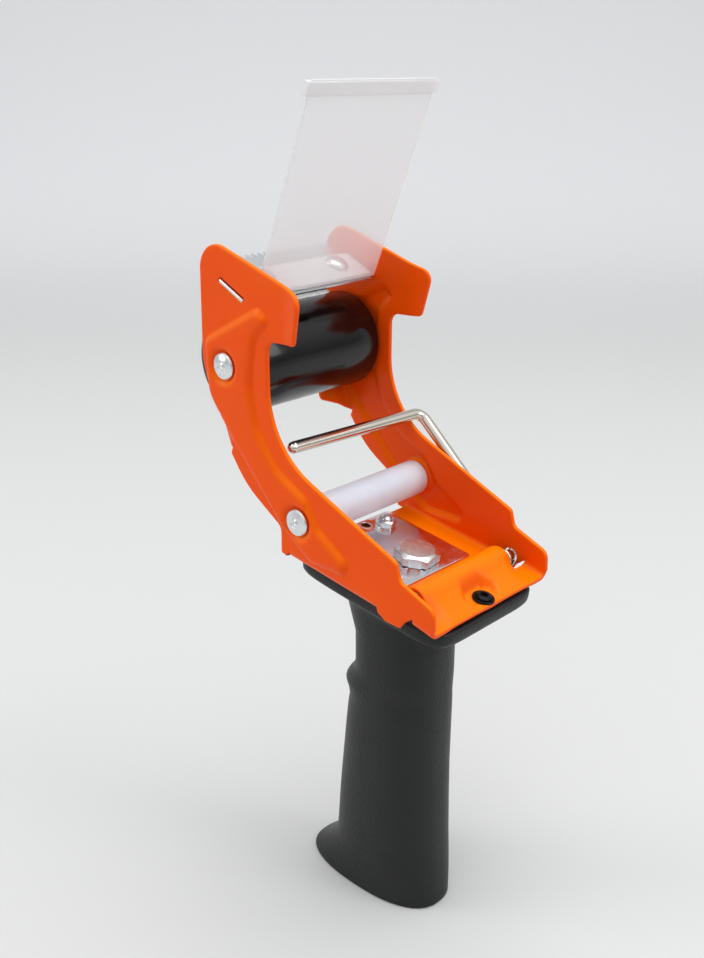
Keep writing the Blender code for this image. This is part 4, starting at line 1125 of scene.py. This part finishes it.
# pale paper sweep: flat floor that curves up behind and pales as it rises
back = Vector((-math.sin(math.radians(studio["turn"])), math.cos(math.radians(studio["turn"])), 0))
side = Vector((back.y, -back.x, 0))
paper, tree, shader = startMaterial("paleStudioPaper", studio["floorTone"], 0.9)
shader.inputs["Specular IOR Level"].default_value = 0.1
place = addNode(tree, "ShaderNodeTexCoord").outputs["Object"]
depth = addNode(tree, "ShaderNodeVectorMath", {0: place, 1: tuple(back)}, operation="DOT_PRODUCT")
share = addNode(tree, "ShaderNodeMapRange", {"Value": depth.outputs["Value"], 1: 0.7, 2: 1.5}, interpolation_type="SMOOTHSTEP")
tone = addNode(tree, "ShaderNodeMix", {0: share, 6: srgb(studio["floorTone"]), 7: srgb(studio["wallTone"])}, data_type="RGBA")
tree.links.new(tone.outputs[2], shader.inputs["Base Color"])
# (distance behind, height) in metres: flat, then a quarter round, then straight up
sweepLine = [(-9.0, 0.0), (1.1, 0.0)]
sweepLine += [(1.1 + 0.7 * math.sin(math.radians(a)), 0.7 - 0.7 * math.cos(math.radians(a))) for a in range(6, 91, 6)]
sweepLine += [(1.8, 4.0)]
sweepMesh = bpy.data.meshes.new("paperSweep")
sweepMesh.from_pydata([(*(back * d + side * w).xy, z) for d, z in sweepLine for w in (-9.0, 9.0)], [],
                      [(2 * k, 2 * k + 1, 2 * k + 3, 2 * k + 2) for k in range(len(sweepLine) - 1)])
sweepMesh.shade_smooth()
sweepMesh.materials.append(paper)
sweep = bpy.data.objects.new("paperSweep", sweepMesh)
bpy.context.collection.objects.link(sweep)

# soft room, brightest overhead
world = bpy.data.worlds.new("softRoom")
world.use_nodes = True
bpy.context.scene.world = world
tree = world.node_tree
way = addNode(tree, "ShaderNodeTexCoord").outputs["Generated"]
height = addNode(tree, "ShaderNodeSeparateXYZ", {"Vector": way})
share = addNode(tree, "ShaderNodeMapRange", {"Value": height.outputs["Z"], 1: 0.0, 2: 0.7}, interpolation_type="SMOOTHSTEP")
tone = addNode(tree, "ShaderNodeMix", {0: share, 6: srgb(studio["horizon"]), 7: srgb(studio["zenith"])}, data_type="RGBA")
seen = addNode(tree, "ShaderNodeLightPath").outputs["Is Camera Ray"]
tone = addNode(tree, "ShaderNodeMix", {0: seen, 6: tone.outputs[2], 7: srgb(studio["distance"])}, data_type="RGBA")
tree.links.new(tone.outputs[2], tree.nodes["Background"].inputs["Color"])

lamps = {
    "overhead": {"at": (0.15, 0.1, 1.15), "aim": (0.0, 0.0, 0.12), "size": (0.9, 0.9), "power": 5.0},
    "rearRight": {"at": (0.95, 0.35, 0.75), "aim": (0.0, 0.0, 0.15), "size": (0.4, 0.6), "power": 2.4},
    "leftFront": {"at": (-0.75, -0.75, 0.6), "aim": (0.0, 0.0, 0.15), "size": (0.5, 0.8), "power": 3.2},
}
for name, lamp in lamps.items():
    light = bpy.data.lights.new(name, "AREA")
    light.shape = "RECTANGLE"
    light.size, light.size_y = lamp["size"]
    light.energy = lamp["power"]
    made = bpy.data.objects.new(name, light)
    made.location = lamp["at"]
    made.rotation_euler = (Vector(lamp["at"]) - Vector(lamp["aim"])).to_track_quat("Z", "Y").to_euler()
    bpy.context.collection.objects.link(made)
print("studio set")
